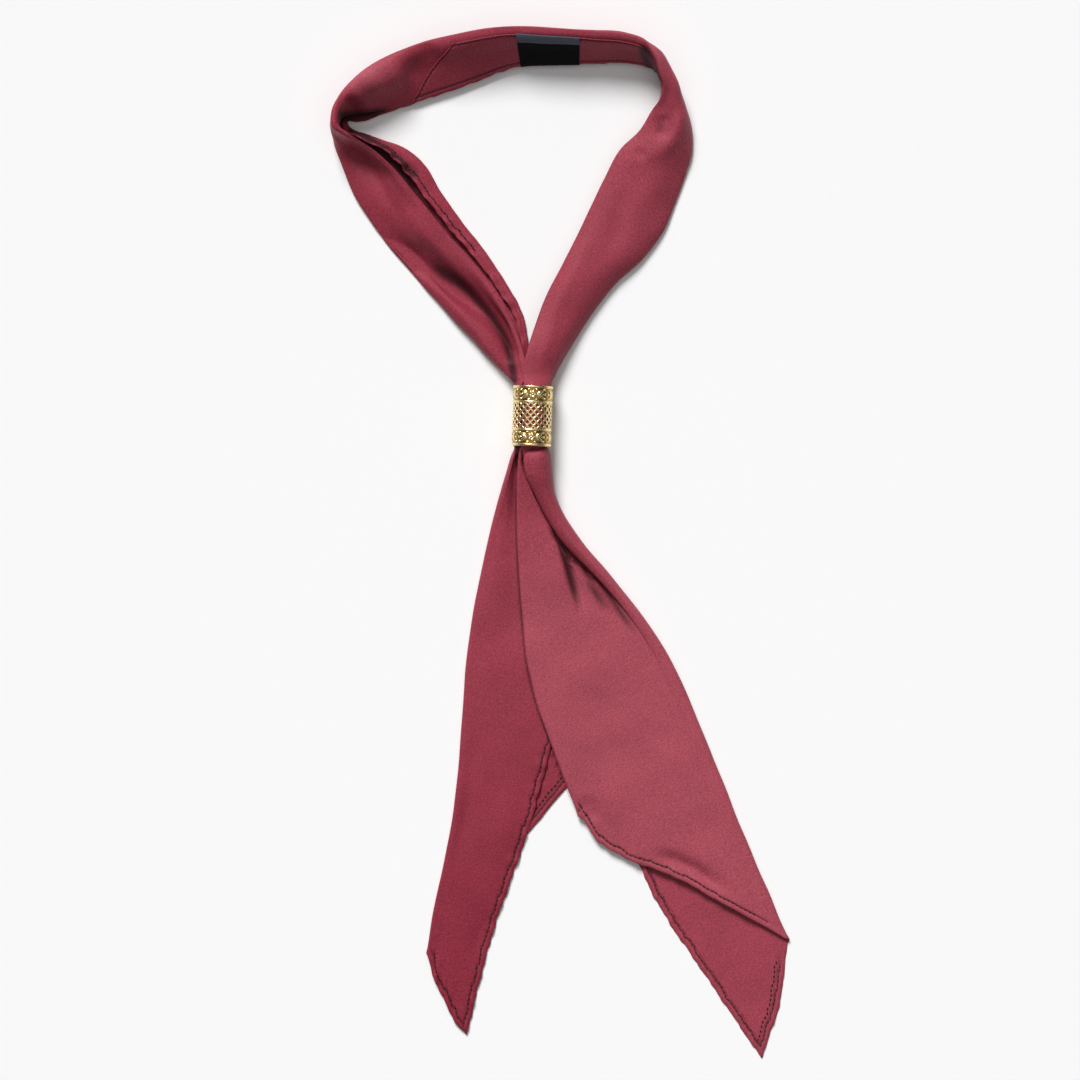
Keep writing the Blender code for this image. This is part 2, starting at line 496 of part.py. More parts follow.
def place_object(name, bm, finish):
    mesh = bpy.data.meshes.new(name)
    bm.to_mesh(mesh)
    bm.free()
    mesh.transform(Matrix.Translation((-ORIGIN[0] * MM, -ORIGIN[1] * MM, 0.0)))
    mesh.materials.append(finish)
    mesh.shade_smooth()
    made = bpy.data.objects.new(name, mesh)
    bpy.context.scene.collection.objects.link(made)
    return made


def sheet(name, points, finish, wall=WALL):
    """A cloth wall through a net of points, with its thickness evenly on both sides."""
    rows, columns = points.shape[:2]
    bm = bmesh.new()
    bmesh.ops.create_grid(bm, x_segments=columns - 1, y_segments=rows - 1, size=1.0)
    for vert in bm.verts:
        column = round((vert.co.x + 1) / 2 * (columns - 1))
        row = round((vert.co.y + 1) / 2 * (rows - 1))
        vert.co = Vector(points[row, column]) * MM
    made = place_object(name, bm, finish)
    solid = made.modifiers.new("Wall", "SOLIDIFY")
    solid.thickness = wall * MM
    solid.offset = 0.0
    return made


def rows_apart(cloth, first_row, last_row, count):
    """Evenly numbered rows from one seam to the next, half the clearance in at each."""
    def shifted(row, distance):
        length = np.interp(row, np.arange(len(cloth.lengths)), cloth.lengths)
        return np.interp(length + distance, cloth.lengths, np.arange(len(cloth.lengths)))
    return np.linspace(shifted(first_row, GAP / 2), shifted(last_row, -GAP / 2), count + 1)


def make_loop(loop, finish):
    across = steps_between(LOOP_STEPS)
    last = len(LOOP_ROWS) - 1
    for name, first_row, last_row, count in (("left_leg", 0, LEFT_SEAM, 40),
                                             ("neckband", LEFT_SEAM, RIGHT_SEAM, 8),
                                             ("right_leg", RIGHT_SEAM, last, 38)):
        sheet(name, loop.points(across, rows_apart(loop, first_row, last_row, count)), finish)


def patch_points(cloth, across, starts, ends, rows, raised):
    """A net that lies on a cloth, moved out. starts and ends are its end rows at the first
    and the last place across, so an end can run slantwise."""
    columns = []
    shares = np.linspace(0, 1, len(across))
    for place, share in zip(across, shares):
        first = starts[0] + (starts[1] - starts[0]) * share
        last = ends[0] + (ends[1] - ends[0]) * share
        along = np.linspace(first, last, rows + 1)
        place = np.array([place])
        points = cloth.points(place, along) + cloth.outwards(place, along) * raised
        columns.append(points[:, 0])
    return np.array(columns).transpose(1, 0, 2)


def make_tails(finish):
    left = Cloth(left_tail_knots())
    last = len(LEFT_TAIL_ROWS) - 1
    sheet("left_tail", left.points(steps_between(LEFT_TAIL_STEPS), rows_apart(left, 0, last, 28)), finish)
    right = Cloth(right_tail_knots(), RIGHT_TAIL_TROUGHS, 5, 10)
    last = len(RIGHT_TAIL_ROWS) - 1
    sheet("right_tail", right.points(steps_between(RIGHT_TAIL_STEPS), rows_apart(right, 0, last, 28)), finish)


def make_ring(finish):
    """The slide ring: a tube turned from its profile, with rims, two relief bands and a
    band of sunk diamonds between them."""
    inner = RING_RADIUS - RING_WALL
    half = RING_LENGTH / 2
    lattice = [(-LATTICE_HALF + step * LATTICE_PITCH, RING_RADIUS - LATTICE_BELOW)
               for step in range(LATTICE_ROWS + 1)]
    side = [(LATTICE_HALF + along, RING_RADIUS - below) for along, below in INNER_RIM]
    side += [(half - along, RING_RADIUS - below) for along, below in END_RIM]
    profile = ([(-half, inner)] + [(-along, radius) for along, radius in reversed(side)]
               + lattice + side + [(half, inner)])
    bm = bmesh.new()
    verts = [bm.verts.new((radius, 0.0, along)) for along, radius in profile]
    edges = [bm.edges.new((verts[i], verts[(i + 1) % len(verts)])) for i in range(len(verts))]
    bmesh.ops.spin(bm, geom=verts + edges, cent=(0, 0, 0), axis=(0, 0, 1), dvec=(0, 0, 0),
                   angle=2 * math.pi, steps=RING_STEPS, use_merge=True, use_duplicate=False)
    for vert in bm.verts:
        radius = math.hypot(vert.co.x, vert.co.y)
        level = (vert.co.z + LATTICE_HALF) / LATTICE_PITCH
        if abs(vert.co.z) < LATTICE_HALF - LATTICE_PITCH / 2 and radius > RING_RADIUS - RING_WALL / 2:
            step = round(math.atan2(vert.co.y, vert.co.x) / (2 * math.pi) * RING_STEPS)
            if (step + round(level)) % 2:
                vert.co.xy *= (radius - LATTICE_DEPTH) / radius
    bmesh.ops.recalc_face_normals(bm, faces=bm.faces)
    centre = Vector(RING_CENTRE)
    place = (Matrix.Translation(centre) @ Matrix.Rotation(math.radians(RING_TURN), 4, "Z")
             @ Matrix.Rotation(math.radians(-90), 4, "X"))
    bmesh.ops.transform(bm, matrix=Matrix.Scale(MM, 4) @ place, verts=bm.verts)
    made = place_object("slide_ring", bm, finish)
    made.data.set_sharp_from_angle(angle=math.radians(SHARP_FROM))
    return made


def main():
    for old in list(bpy.data.objects):
        bpy.data.objects.remove(old, do_unlink=True)
    cloth = material("satin_crepe", CLOTH_COLOUR, 0.5, 0.0)
    woven = material("label_black", LABEL_COLOUR, 0.7, 0.0)
    gold = material("ring_gold", GOLD_COLOUR, 0.25, 1.0)
    loop = Cloth(loop_knots())
    make_loop(loop, cloth)
    make_tails(cloth)
    facing = patch_points(loop, FACING_ACROSS, FACING_LEFT, FACING_RIGHT, 16, WALL + GAP)
    sheet("neck_facing", facing, cloth)
    label = patch_points(loop, LABEL_ACROSS, LABEL_LEFT, LABEL_RIGHT, 6, 2 * (WALL + GAP))
    sheet("neck_label", label, woven)
    make_ring(gold)


if __name__ == "__main__":
    main()
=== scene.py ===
"""Looks of the scarf tie: the folded strip of satin crepe with its hems, stitches and creases, the
facing and the bare label on the neck side, and the openwork slide ring, on a pale floor.

The plan is X and Y, with the neckband towards +Y and the tails towards -Y, and +Z is up. Tables
are in millimetres and degrees. The object's origin is under the middle of its outline.
"""

import math

import bmesh
import bpy
import numpy as np
from mathutils import Matrix, Vector


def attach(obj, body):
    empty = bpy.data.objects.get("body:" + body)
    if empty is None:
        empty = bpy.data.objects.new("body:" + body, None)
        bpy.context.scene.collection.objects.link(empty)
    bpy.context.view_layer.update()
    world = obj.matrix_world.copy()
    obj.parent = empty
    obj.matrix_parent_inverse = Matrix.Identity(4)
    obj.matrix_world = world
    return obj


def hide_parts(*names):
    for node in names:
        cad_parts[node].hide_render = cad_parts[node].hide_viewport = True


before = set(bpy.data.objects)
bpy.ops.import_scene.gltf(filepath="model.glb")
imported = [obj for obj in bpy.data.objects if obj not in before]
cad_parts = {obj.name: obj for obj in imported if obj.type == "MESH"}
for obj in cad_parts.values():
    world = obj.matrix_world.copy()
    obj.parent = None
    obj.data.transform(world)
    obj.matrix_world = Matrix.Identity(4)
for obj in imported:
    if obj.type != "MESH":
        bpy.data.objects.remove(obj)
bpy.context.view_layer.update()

bl_info = {
    "name": "Scarf tie with slide ring",
    "version": (1, 0, 0),
    "blender": (4, 5, 0),
    "location": "View3D > Sidebar > Scarf tie",
    "description": "Dresses the scarf tie in satin crepe, stitches, a woven label and a gold openwork ring",
    "category": "Object",
}

MM = 0.001
MERGE = 0.0001             # distance within which points of the cloth are one
RING_MERGE = 0.001         # the same for the ring
TINY = 1e-9                # least length that anything is divided by

# Cloth
WALL = 0.4                 # thickness of the cloth
REST = WALL / 2            # height of the middle of the cloth where it lies on the surface
ORIGIN = (0.77, -1.01)     # where the object's origin is in the plan of the tables
PLY = 1.0                  # from ply to ply where one lies on another

# Slide ring: its axis lies along +Y, turned by a few degrees, and it rests on the surface
RING_RADIUS = 10.0
RING_CENTRE = (-12.9, 62.4, RING_RADIUS)
RING_TURN = -1.9
BUNCH_RADIUS = 8.6         # round side of the bunched cloth inside the ring

# The loop of the strip, from inside the ring up the left front, round the neck and down the
# right front. Each row is a section across the strip. x, y: its outermost point. heading: the
# way inwards from there. width: to the innermost point. foot, top: where the lower fold and
# the upper fold lie, as shares of the width. rise: height of the upper fold. low, mid, high:
# how far the outer ply stands out from the straight line between the folds. grip: 1 inside
# the ring, 0 where the strip lies free.
LOOP_COLUMNS = ("x", "y", "heading", "width", "foot", "top", "rise", "low", "mid", "high", "grip")
LEFT_LEG_ROWS = (
    (-22.9, 62.4, -2, 14.0, 0.0, 0.80, 15.0, 1.0, 0.0, -1.0, 1.0),
    (-22.6, 70.0, -2, 14.0, 0.0, 0.80, 15.0, 1.0, 0.0, -1.0, 1.0),
    (-22.6, 76.9, -2, 14.0, 0.0, 0.80, 15.0, 1.0, 0.0, -1.0, 1.0),
    (-25.0, 82.0, 8, 12.0, 0.0, 0.76, 15.4, 2.4, -0.6, -2.4, 0.10),
    (-32.9, 89.8, 20, 20.0, 0.0, 0.79, 14.2, 3.0, -0.4, -3.4, 0.0),
    (-43.4, 102.3, 20, 28.2, 0.0, 0.77, 13.2, 3.5, 0.4, -4.0, 0.0),
    (-56.9, 115.8, 19, 34.2, 0.0, 0.80, 12.4, 3.0, -1.5, -2.4, 0.0),
    (-70.9, 131.3, 20, 37.4, 0.0, 0.76, 11.4, 1.5, -2.2, 1.0, 0.0),
    (-83.9, 146.3, 21, 38.4, 0.0, 0.72, 12.2, -0.8, 0.8, 2.0, 0.0),
    (-94.9, 161.8, 20, 38.6, 0.0, 0.69, 13.6, -0.5, -1.2, 0.5, 0.0),
    (-103.6, 176.8, 17, 38.8, 0.0, 0.61, 16.0, 0.0, -3.0, -1.6, 0.0),
    (-109.7, 189.8, 12, 33.6, 0.02, 0.55, 18.0, 0.0, -2.6, -1.6, 0.0),
    (-113.2, 200.0, 6, 21.2, 0.05, 0.42, 21.0, 1.0, -0.5, -0.8, 0.0),
)
NECKBAND_ROWS = (
    (-113.7, 206.8, 0, 9.5, 0.12, 0.12, 22.4, 1.0, 1.0, 0.3, 0.0),
    (-113.0, 212.6, -22, 8.4, 0.25, 0.05, 21.6, 1.0, 0.8, 0.3, 0.0),
    (-109.4, 221.6, -46, 16.2, 0.56, 0.0, 18.2, 0.5, 0.8, 0.4, 0.0),
    (-100.6, 232.0, -55, 22.8, 0.74, 0.0, 16.0, 0.6, 1.2, 0.8, 0.0),
    (-86.0, 241.3, -66, 26.0, 0.80, 0.0, 15.4, 1.0, 1.4, 0.9, 0.0),
    (-68.6, 248.0, -72, 26.6, 0.82, 0.0, 16.0, 0.8, 1.2, 0.8, 0.0),
    (-48.8, 252.8, -75, 24.6, 0.81, 0.0, 17.6, 0.8, 1.0, 0.6, 0.0),
    (-25.9, 256.3, -80, 20.0, 0.78, 0.0, 19.5, 0.6, 0.8, 0.5, 0.0),
    (-4.0, 255.5, -88, 17.4, 0.75, 0.0, 20.5, 0.6, 0.8, 0.5, 0.0),
    (18.2, 254.0, -93, 15.6, 0.72, 0.0, 21.5, 0.8, 1.0, 0.6, 0.0),
    (33.4, 252.6, -98, 13.8, 0.68, 0.0, 22.0, 1.2, 1.5, 1.0, 0.0),
    (44.2, 249.8, -104, 12.4, 0.62, 0.12, 22.5, 2.2, 2.4, 1.5, 0.0),
)
RIGHT_LEG_ROWS = (
    (51.7, 244.7, -117, 9.8, 0.58, 0.55, 22.5, 3.0, 4.0, 3.0, 0.0),
    (57.2, 236.0, -144, 8.2, 0.50, 0.95, 21.5, 2.4, 3.8, 3.2, 0.0),
    (61.7, 227.4, -178, 9.6, 0.34, 1.0, 20.0, 2.6, 4.2, 3.6, 0.0),
    (65.2, 218.5, 172, 14.2, 0.18, 1.0, 17.5, 3.6, 4.8, 3.4, 0.0),
    (67.4, 208.0, 163, 21.7, 0.05, 1.0, 14.5, 4.8, 5.5, 2.6, 0.0),
    (67.3, 196.8, 163, 27.8, 0.0, 1.0, 12.0, 4.6, 5.5, 3.0, 0.0),
    (64.6, 184.8, 163, 35.2, 0.0, 1.0, 10.5, 4.5, 5.0, 3.5, 0.0),
    (59.3, 169.8, 163, 38.1, 0.0, 1.0, 9.5, 4.5, 4.5, 2.5, 0.0),
    (53.1, 155.8, 162, 38.1, 0.0, 1.0, 9.0, 4.0, 4.0, 2.5, 0.0),
    (42.9, 141.8, 161, 35.0, 0.0, 1.0, 9.0, 4.0, 4.0, 3.0, 0.0),
    (30.0, 129.8, 163, 29.0, 0.0, 1.0, 9.5, 4.0, 4.5, 3.5, 0.0),
    (19.6, 117.3, 163, 25.6, 0.0, 1.0, 10.5, 4.0, 4.5, 3.5, 0.0),
    (10.7, 103.8, 165, 22.2, 0.0, 1.0, 12.5, 4.0, 4.5, 3.0, 0.0),
    (3.6, 92.3, 169, 19.0, 0.0, 1.0, 15.5, 4.0, 4.5, 3.0, 0.0),
    (-1.2, 82.6, 175, 16.2, 0.0, 1.0, 17.0, 4.0, 4.5, 2.5, 0.10),
    (-2.4, 76.9, 178, 15.0, 0.0, 1.0, 16.0, 3.0, 3.5, 2.5, 1.0),
    (-2.6, 70.0, 178, 15.0, 0.0, 1.0, 16.0, 3.0, 3.5, 2.5, 1.0),
    (-2.9, 62.4, 178, 15.0, 0.0, 1.0, 16.0, 3.0, 3.5, 2.5, 1.0),
)
# What lies under and behind the outer ply, at the same sections, by the number of the row
# from the left end: reach is how far in the ply on the surface goes, as a share of the width,
# flap the width of the hem turned back over it, and turn_in the share of the outer ply that
# the ply behind the upper fold comes back. open: how far the flap's edge stands open.
INSIDE_COLUMNS = ("row", "reach", "flap", "turn_in", "open")
INSIDE_ROWS = (
    (0, 0.90, 2.0, 0.12, 0.4),
    (3, 0.95, 2.0, 0.12, 0.4),
    (5, 1.00, 3.0, 0.12, 0.4),
    (7, 1.00, 5.0, 0.20, 1.6),
    (9, 1.00, 6.6, 0.30, 4.0),
    (10, 1.00, 8.2, 0.35, 5.2),
    (11, 1.00, 7.6, 0.40, 5.0),
    (12, 1.00, 5.4, 0.55, 2.6),
    (13, 1.00, 2.2, 0.70, 0.6),
    (14, 1.00, 1.0, 0.75, 0.4),
    (16, 1.00, 0.8, 0.85, 0.4),
    (17, 1.00, 0.8, 0.93, 0.4),
    (24, 1.00, 0.8, 0.95, 0.4),
    (26, 1.00, 0.8, 0.60, 0.4),
    (28, 0.95, 2.0, 0.30, 0.4),
    (30, 0.80, 4.0, 0.14, 0.4),
    (36, 0.75, 4.0, 0.14, 0.4),
    (38, 0.55, 2.0, 0.14, 0.4),
    (42, 0.55, 2.0, 0.14, 0.4),
)

# Tails. Every row is a line across the folded strip; the last one is the hemmed end.
# fold, hem and back are the plan places of the fold and of the strip's two long edges,
# lift is the height of the upper ply, bulge how far the middle of the upper ply's line bows
# towards the end, and grip 1 inside the ring.
LEFT_TAIL_COLUMNS = ("fold_x", "fold_y", "hem_x", "hem_y", "back_x", "back_y", "lift", "bulge", "grip")
LEFT_TAIL_ROWS = (
    (-22.9, 62.4, -12.0, 62.4, -12.0, 62.4, 14.0, 0.0, 1.0),
    (-23.3, 54.0, -12.0, 54.0, -12.0, 54.0, 14.0, 0.0, 1.0),
    (-23.6, 49.0, -13.0, 49.0, -12.5, 49.0, 13.0, 0.0, 1.0),
    (-23.1, 45.2, -14.6, 45.4, -13.2, 45.0, 14.0, 0.0, 0.25),
    (-26.1, 34.0, -14.4, 34.5, -12.4, 34.0, 10.0, 0.0, 0.0),
    (-29.4, 23.0, -13.5, 24.0, -11.0, 23.0, 7.2, 0.0, 0.0),
    (-34.6, 1.8, -4.0, 4.3, -3.0, 0.8, 3.8, 0.0, 0.0),
    (-38.4, -14.3, 3.0, -11.8, 2.0, -15.3, 3.4, 0.0, 0.0),
    (-41.7, -31.8, 7.0, -29.3, 6.5, -32.8, 3.2, 0.0, 0.0),
    (-45.3, -54.3, 7.5, -54.3, 11.0, -53.3, 3.0, 0.0, 0.0),
    (-47.2, -76.8, 3.4, -79.3, 15.0, -71.8, 2.8, 0.0, 0.0),
    (-48.8, -99.3, -3.2, -101.8, 18.0, -79.3, 2.8, 0.0, 0.0),
    (-50.2, -116.8, -8.1, -119.3, 19.0, -85.3, 2.6, 0.0, 0.0),
    (-52.7, -136.8, -14.3, -141.8, 19.5, -90.8, 2.6, 0.2, 0.0),
    (-56.3, -156.8, -23.4, -167.8, 19.5, -95.3, 2.5, 0.4, 0.0),
    (-60.1, -174.3, -31.7, -191.3, 19.5, -98.8, 2.4, 0.8, 0.0),
    (-63.3, -190.3, -39.6, -219.8, 19.5, -101.8, 2.3, 1.4, 0.0),
    (-65.6, -205.4, -45.8, -246.2, 19.5, -104.3, 2.2, 2.2, 0.0),
)
# On the right tail left is the roll on the inner side, fold the fold on the right, hem the
# lower ply's long edge. roll, roll_rise: width and height of the rolled fold on the right.
# dip: height of the trough beside it. panel, inner: heights of the upper ply at its middle
# and at the left roll. hang: how far the upper ply's line hangs past a straight one near the
# left roll. bulge: how far the lower ply's line bows towards the end.
RIGHT_TAIL_COLUMNS = ("left_x", "left_y", "fold_x", "fold_y", "hem_x", "hem_y",
                      "roll", "roll_rise", "dip", "panel", "inner", "hang", "bulge", "grip")
RIGHT_TAIL_ROWS = (
    (-17.9, 62.4, -2.9, 62.4, -8.0, 62.4, 8.0, 16.0, 12.0, 14.0, 13.0, 0.0, 0.0, 1.0),
    (-18.2, 54.0, -3.1, 54.0, -8.2, 54.0, 8.0, 16.0, 12.0, 14.0, 13.0, 0.0, 0.0, 1.0),
    (-18.5, 49.0, -3.4, 49.0, -8.5, 49.0, 8.0, 16.0, 12.0, 14.0, 13.0, 0.0, 0.0, 1.0),
    (-19.7, 45.1, -3.5, 45.1, -10.6, 45.0, 13.0, 19.0, 14.0, 15.6, 14.8, 0.0, 0.0, 0.25),
    (-20.3, 34.2, -2.9, 34.0, -10.2, 33.5, 12.0, 16.6, 10.4, 12.6, 12.6, 0.0, 0.0, 0.0),
    (-20.6, 25.0, -1.6, 25.0, -9.5, 24.0, 9.4, 13.8, 6.6, 10.2, 10.8, 0.0, 0.0, 0.0),
    (-20.7, 12.8, 3.6, 12.3, -5.5, 11.5, 8.4, 11.0, 3.8, 8.0, 9.0, 0.0, 0.0, 0.0),
    (-20.4, 0.8, 11.8, 0.3, 2.0, -2.0, 8.8, 9.8, 3.0, 7.6, 8.6, 0.0, 0.0, 0.0),
    (-19.1, -19.3, 25.4, -15.8, 12.5, -24.3, 6.2, 8.2, 3.4, 7.2, 7.8, 0.0, 0.0, 0.0),
    (-17.6, -41.8, 40.2, -34.3, 19.0, -49.3, 5.2, 6.5, 4.4, 6.2, 7.2, 0.0, 0.0, 0.0),
    (-15.1, -61.8, 52.3, -51.8, 23.5, -75.3, 4.6, 5.5, 4.4, 5.8, 7.0, 0.0, 0.0, 0.0),
    (-11.1, -79.3, 62.4, -71.3, 28.0, -104.3, 4.6, 4.8, 4.2, 5.2, 6.8, 0.0, 0.0, 0.0),
    (-6.1, -94.3, 71.2, -92.8, 33.2, -133.3, 5.0, 4.4, 4.0, 4.6, 6.6, 0.0, 0.0, 0.0),
    (-1.1, -107.8, 81.0, -116.8, 40.6, -160.3, 6.0, 4.2, 4.0, 4.2, 6.2, 0.3, 0.3, 0.0),
    (3.9, -121.3, 92.0, -144.3, 53.8, -186.8, 6.0, 4.0, 3.9, 4.2, 5.6, 1.0, 0.8, 0.0),
    (7.4, -129.8, 103.8, -171.8, 73.4, -215.8, 6.0, 3.8, 3.75, 4.4, 4.6, 2.6, 1.4, 0.0),
    (10.2, -136.8, 115.2, -199.0, 101.6, -257.6, 6.0, 3.2, 3.2, 4.6, 3.8, 6.0, 2.6, 0.0),
)

LOOP_ROWS = LEFT_LEG_ROWS + NECKBAND_ROWS + RIGHT_LEG_ROWS
FOOT_FOLD = 1.6            # half the thickness of the fold on the surface
FOOT_LEAN = 0.3            # how far in the outer ply starts from that fold
TOP_FOLD = 1.7             # half the thickness of the upper fold
LEAST_TURN_IN = 1.0        # least way that the ply behind that fold comes back
HEM_FOLD = 1.2             # half the thickness of the turned-back hem
LEFT_ROLL = 1.1            # half the thickness of the roll along the right tail's inner side
LEFT_RETURN = 5.0          # how far the ply under that roll reaches back
RETURN_SHARE = 0.6         # the same at most, as a share of the way to the trough
ROUND_PARTS = 6            # parts of its width, of which the left tail's fold takes one at most
STEEP_DROP = 4.0           # drop from the rolled fold to its trough from which it overhangs fully
BESIDE_ROLL = 1.0          # from a level rolled fold to the trough beside it
OVERHANG = 1.4             # how far back under a steep rolled fold its trough lies
SOFT_FOOT = 3.0            # how much further out it lies where the roll runs out into the panel
# Nose of the rolled fold: how far it stands over a steep drop, its share of the way to the
# trough where the drop is soft, and its share of the drop
NOSE_OUT, NOSE_SHARE, NOSE_HEIGHT = 0.9, 0.45, 0.55
TURN_UNDER = 2.0           # how far in the lower ply leaves that fold
PANEL_SHARES = (("low", 0.25), ("mid", 0.5), ("high", 0.75))    # where the outer ply is shaped
# Between two values of turn_in the ply behind the upper fold comes to follow the hollow of the
# outer ply, and between two others its edge comes to lie on the hem. The edge's place there: in
# from the innermost point, and up from the hem.
FOLLOW_SHARES, RIM_SHARES, RIM_PLACE = (0.15, 0.30), (0.76, 0.91), (0.4, 0.3)
# Knots of the left tail's lower ply: shares of the way to the fold. Knots of its upper ply:
# share of the way from the fold to the hem, of the bulge and of the lift
LEFT_LOWER_LINE = (0.0, 0.4, 0.75)
LEFT_UPPER_LINE = ((0.25, 0.9, 1.0), (0.5, 1.0, 0.9), (0.8, 0.95, 0.5), (1.0, 0.0, 0.25))
# Knots of the right tail's upper ply: share of the way to the left roll, share of the hang
UPPER_PLY_LINE = ((0.25, 0.15), (0.5, 0.28), (0.72, 0.97), (0.88, 0.93))

# The two strands in the ring share it along a slanted line between two corners of the bore.
# Angles place each strand's knots on its round side, shares its spare cloth on the line.
LEFT_CORNERS = (286.0, 135.0)
RIGHT_CORNERS = (-60.5, 122.0)
LEFT_LEG_ANGLES = (272, 257, 235, 208, 182, 168, 157, 148)
RIGHT_LEG_ANGLES = (-53, -42, -28, -5, 25, 60, 92, 112)
LEFT_TAIL_ANGLES = (262, 225, 185, 155)
RIGHT_TAIL_ANGLES = (-34, -4, 24, 40, 54, 68, 84, 98, 109)
LEG_SHARES = (0.34, 0.24, 0.12)
TAIL_SHARES = (0.30, 0.15)

# Distances from a hemmed edge at which the cloth is shaped, and the place of the stitches
HEM_PLACES = (0.0, 0.5, 1.0, 1.5, 2.0, 2.5, 2.9, 3.4, 4.2)
HEM_WIDTH = 3.6            # how far a hem is folded back
HEM_STITCH = 2.5           # from the edge to the stitches
HEM_RISE = 0.55            # from the cloth to its folded-back hem
HEM_PUFF = 0.28            # how far the hem swells between the edge and the stitches
SEAM_DEPTH = 0.45          # how deep the stitches pull the cloth in
HEM_STEPS = 7              # columns of the folded-back hem
LEAST_HEM = 0.3            # narrowest that a folded-back hem gets

# Creases and swells of the cloth. path: its line as seen from above. start, end: half its width
# there. depth: how far it dips, or rises where it is negative. fade_in, fade_out: the share of
# its length over which it comes and goes. ply: which ply of the strip it is in.
# left, where it is given: how much wider the crease is on the left of its path.
CREASE_COLUMNS = ("path", "start", "end", "depth", "fade_in", "fade_out", "ply", "left")
LOOP_CREASES = (
    # left front: dip below the crest, swell beside it, and the long valley down to the ring
    (((-108.5, 201.5), (-98.0, 191.5), (-86.5, 184.0), (-75.0, 174.5)), 4.5, 6.0, 2.6, 0.25, 0.45, "front"),
    (((-105.0, 176.0), (-80.0, 163.0), (-58.0, 148.0)), 6.0, 7.0, -1.0, 0.4, 0.4, "front"),
    (((-96.0, 157.5), (-81.0, 146.5), (-63.5, 134.0), (-46.0, 122.0), (-33.5, 111.0),
      (-25.5, 99.5), (-22.6, 88.0)), 6.0, 2.8, 5.0, 0.3, 0.12, "front"),
    (((-64.0, 121.0), (-44.0, 103.0), (-30.0, 90.0)), 5.0, 3.0, -0.9, 0.4, 0.3, "front"),
    (((-77.0, 189.0), (-71.5, 181.0)), 1.4, 1.2, 0.9, 0.3, 0.3, "flap"),
    (((-84.0, 194.0), (-78.0, 187.5)), 1.6, 1.4, 0.6, 0.3, 0.3, "flap"),
    (((-66.0, 170.0), (-52.0, 152.0), (-36.0, 131.0)), 2.6, 3.2, -0.7, 0.3, 0.3, "back"),
    # right front: dimple below the turn with the arched swell round it, and soft valleys
    (((52.5, 214.0), (53.0, 207.5), (51.0, 200.0)), 4.0, 4.6, 1.1, 0.3, 0.3, "front"),
    (((60.0, 224.0), (60.5, 212.0), (57.5, 202.5), (49.5, 194.5), (39.0, 189.0)),
     3.5, 5.0, -1.3, 0.3, 0.3, "front"),
    (((37.5, 196.0), (44.5, 192.0)), 2.4, 2.6, 0.8, 0.4, 0.4, "front"),
    (((64.0, 196.0), (56.0, 172.0), (44.0, 152.0)), 6.0, 7.0, 1.0, 0.3, 0.4, "front"),
    (((33.0, 180.0), (30.5, 160.0), (24.0, 138.0)), 4.0, 6.0, 0.8, 0.3, 0.4, "front"),
    (((22.0, 165.0), (7.0, 137.0), (-5.5, 108.0)), 4.0, 3.5, -0.5, 0.3, 0.3, "front"),
    # neck: the dip beside the facing's slanted end and slack in the facing's ply
    (((-60.0, 249.0), (-68.0, 240.0), (-77.0, 230.5)), 5.0, 6.5, 1.7, 0.3, 0.35, "neck"),
    (((-92.0, 236.0), (-97.0, 226.0)), 6.0, 7.0, -0.8, 0.4, 0.4, "neck"),
    (((-105.0, 218.5), (-96.5, 227.0), (-84.0, 233.0), (-72.0, 237.0)), 8.5, 9.0, -4.4, 0.2, 0.3, "neck"),
    # outer side of the neckband, hidden from above
    (((-80.0, 238.0), (-66.0, 240.5), (-50.0, 246.0)), 2.5, 3.0, 0.8, 0.3, 0.4, "front"),
    (((-30.0, 250.0), (-12.0, 249.0)), 2.2, 2.8, 0.6, 0.4, 0.4, "front"),
    (((8.0, 250.0), (24.0, 247.0), (38.0, 245.0)), 2.0, 3.0, 0.9, 0.3, 0.4, "front"),
)
LEFT_TAIL_CREASES = (
    (((-21.0, 44.0), (-21.6, 21.0), (-22.0, -6.0)), 2.0, 4.0, 1.6, 0.05, 0.5, "upper"),
    (((-28.0, 16.0), (-31.0, -30.0)), 4.0, 7.0, -0.8, 0.4, 0.4, "upper"),
    (((-24.0, -10.0), (-22.0, -60.0)), 5.0, 8.0, 0.7, 0.4, 0.5, "upper"),
    (((-43.0, -90.0), (-46.0, -130.0), (-52.0, -172.0)), 7.0, 6.0, 0.7, 0.35, 0.35, "upper"),
    (((-20.0, -100.0), (-28.0, -150.0), (-40.0, -190.0)), 7.0, 6.0, -0.6, 0.35, 0.4, "upper"),
    (((-34.0, -184.0), (-44.0, -214.0)), 5.0, 4.0, 0.5, 0.4, 0.4, "upper"),
)
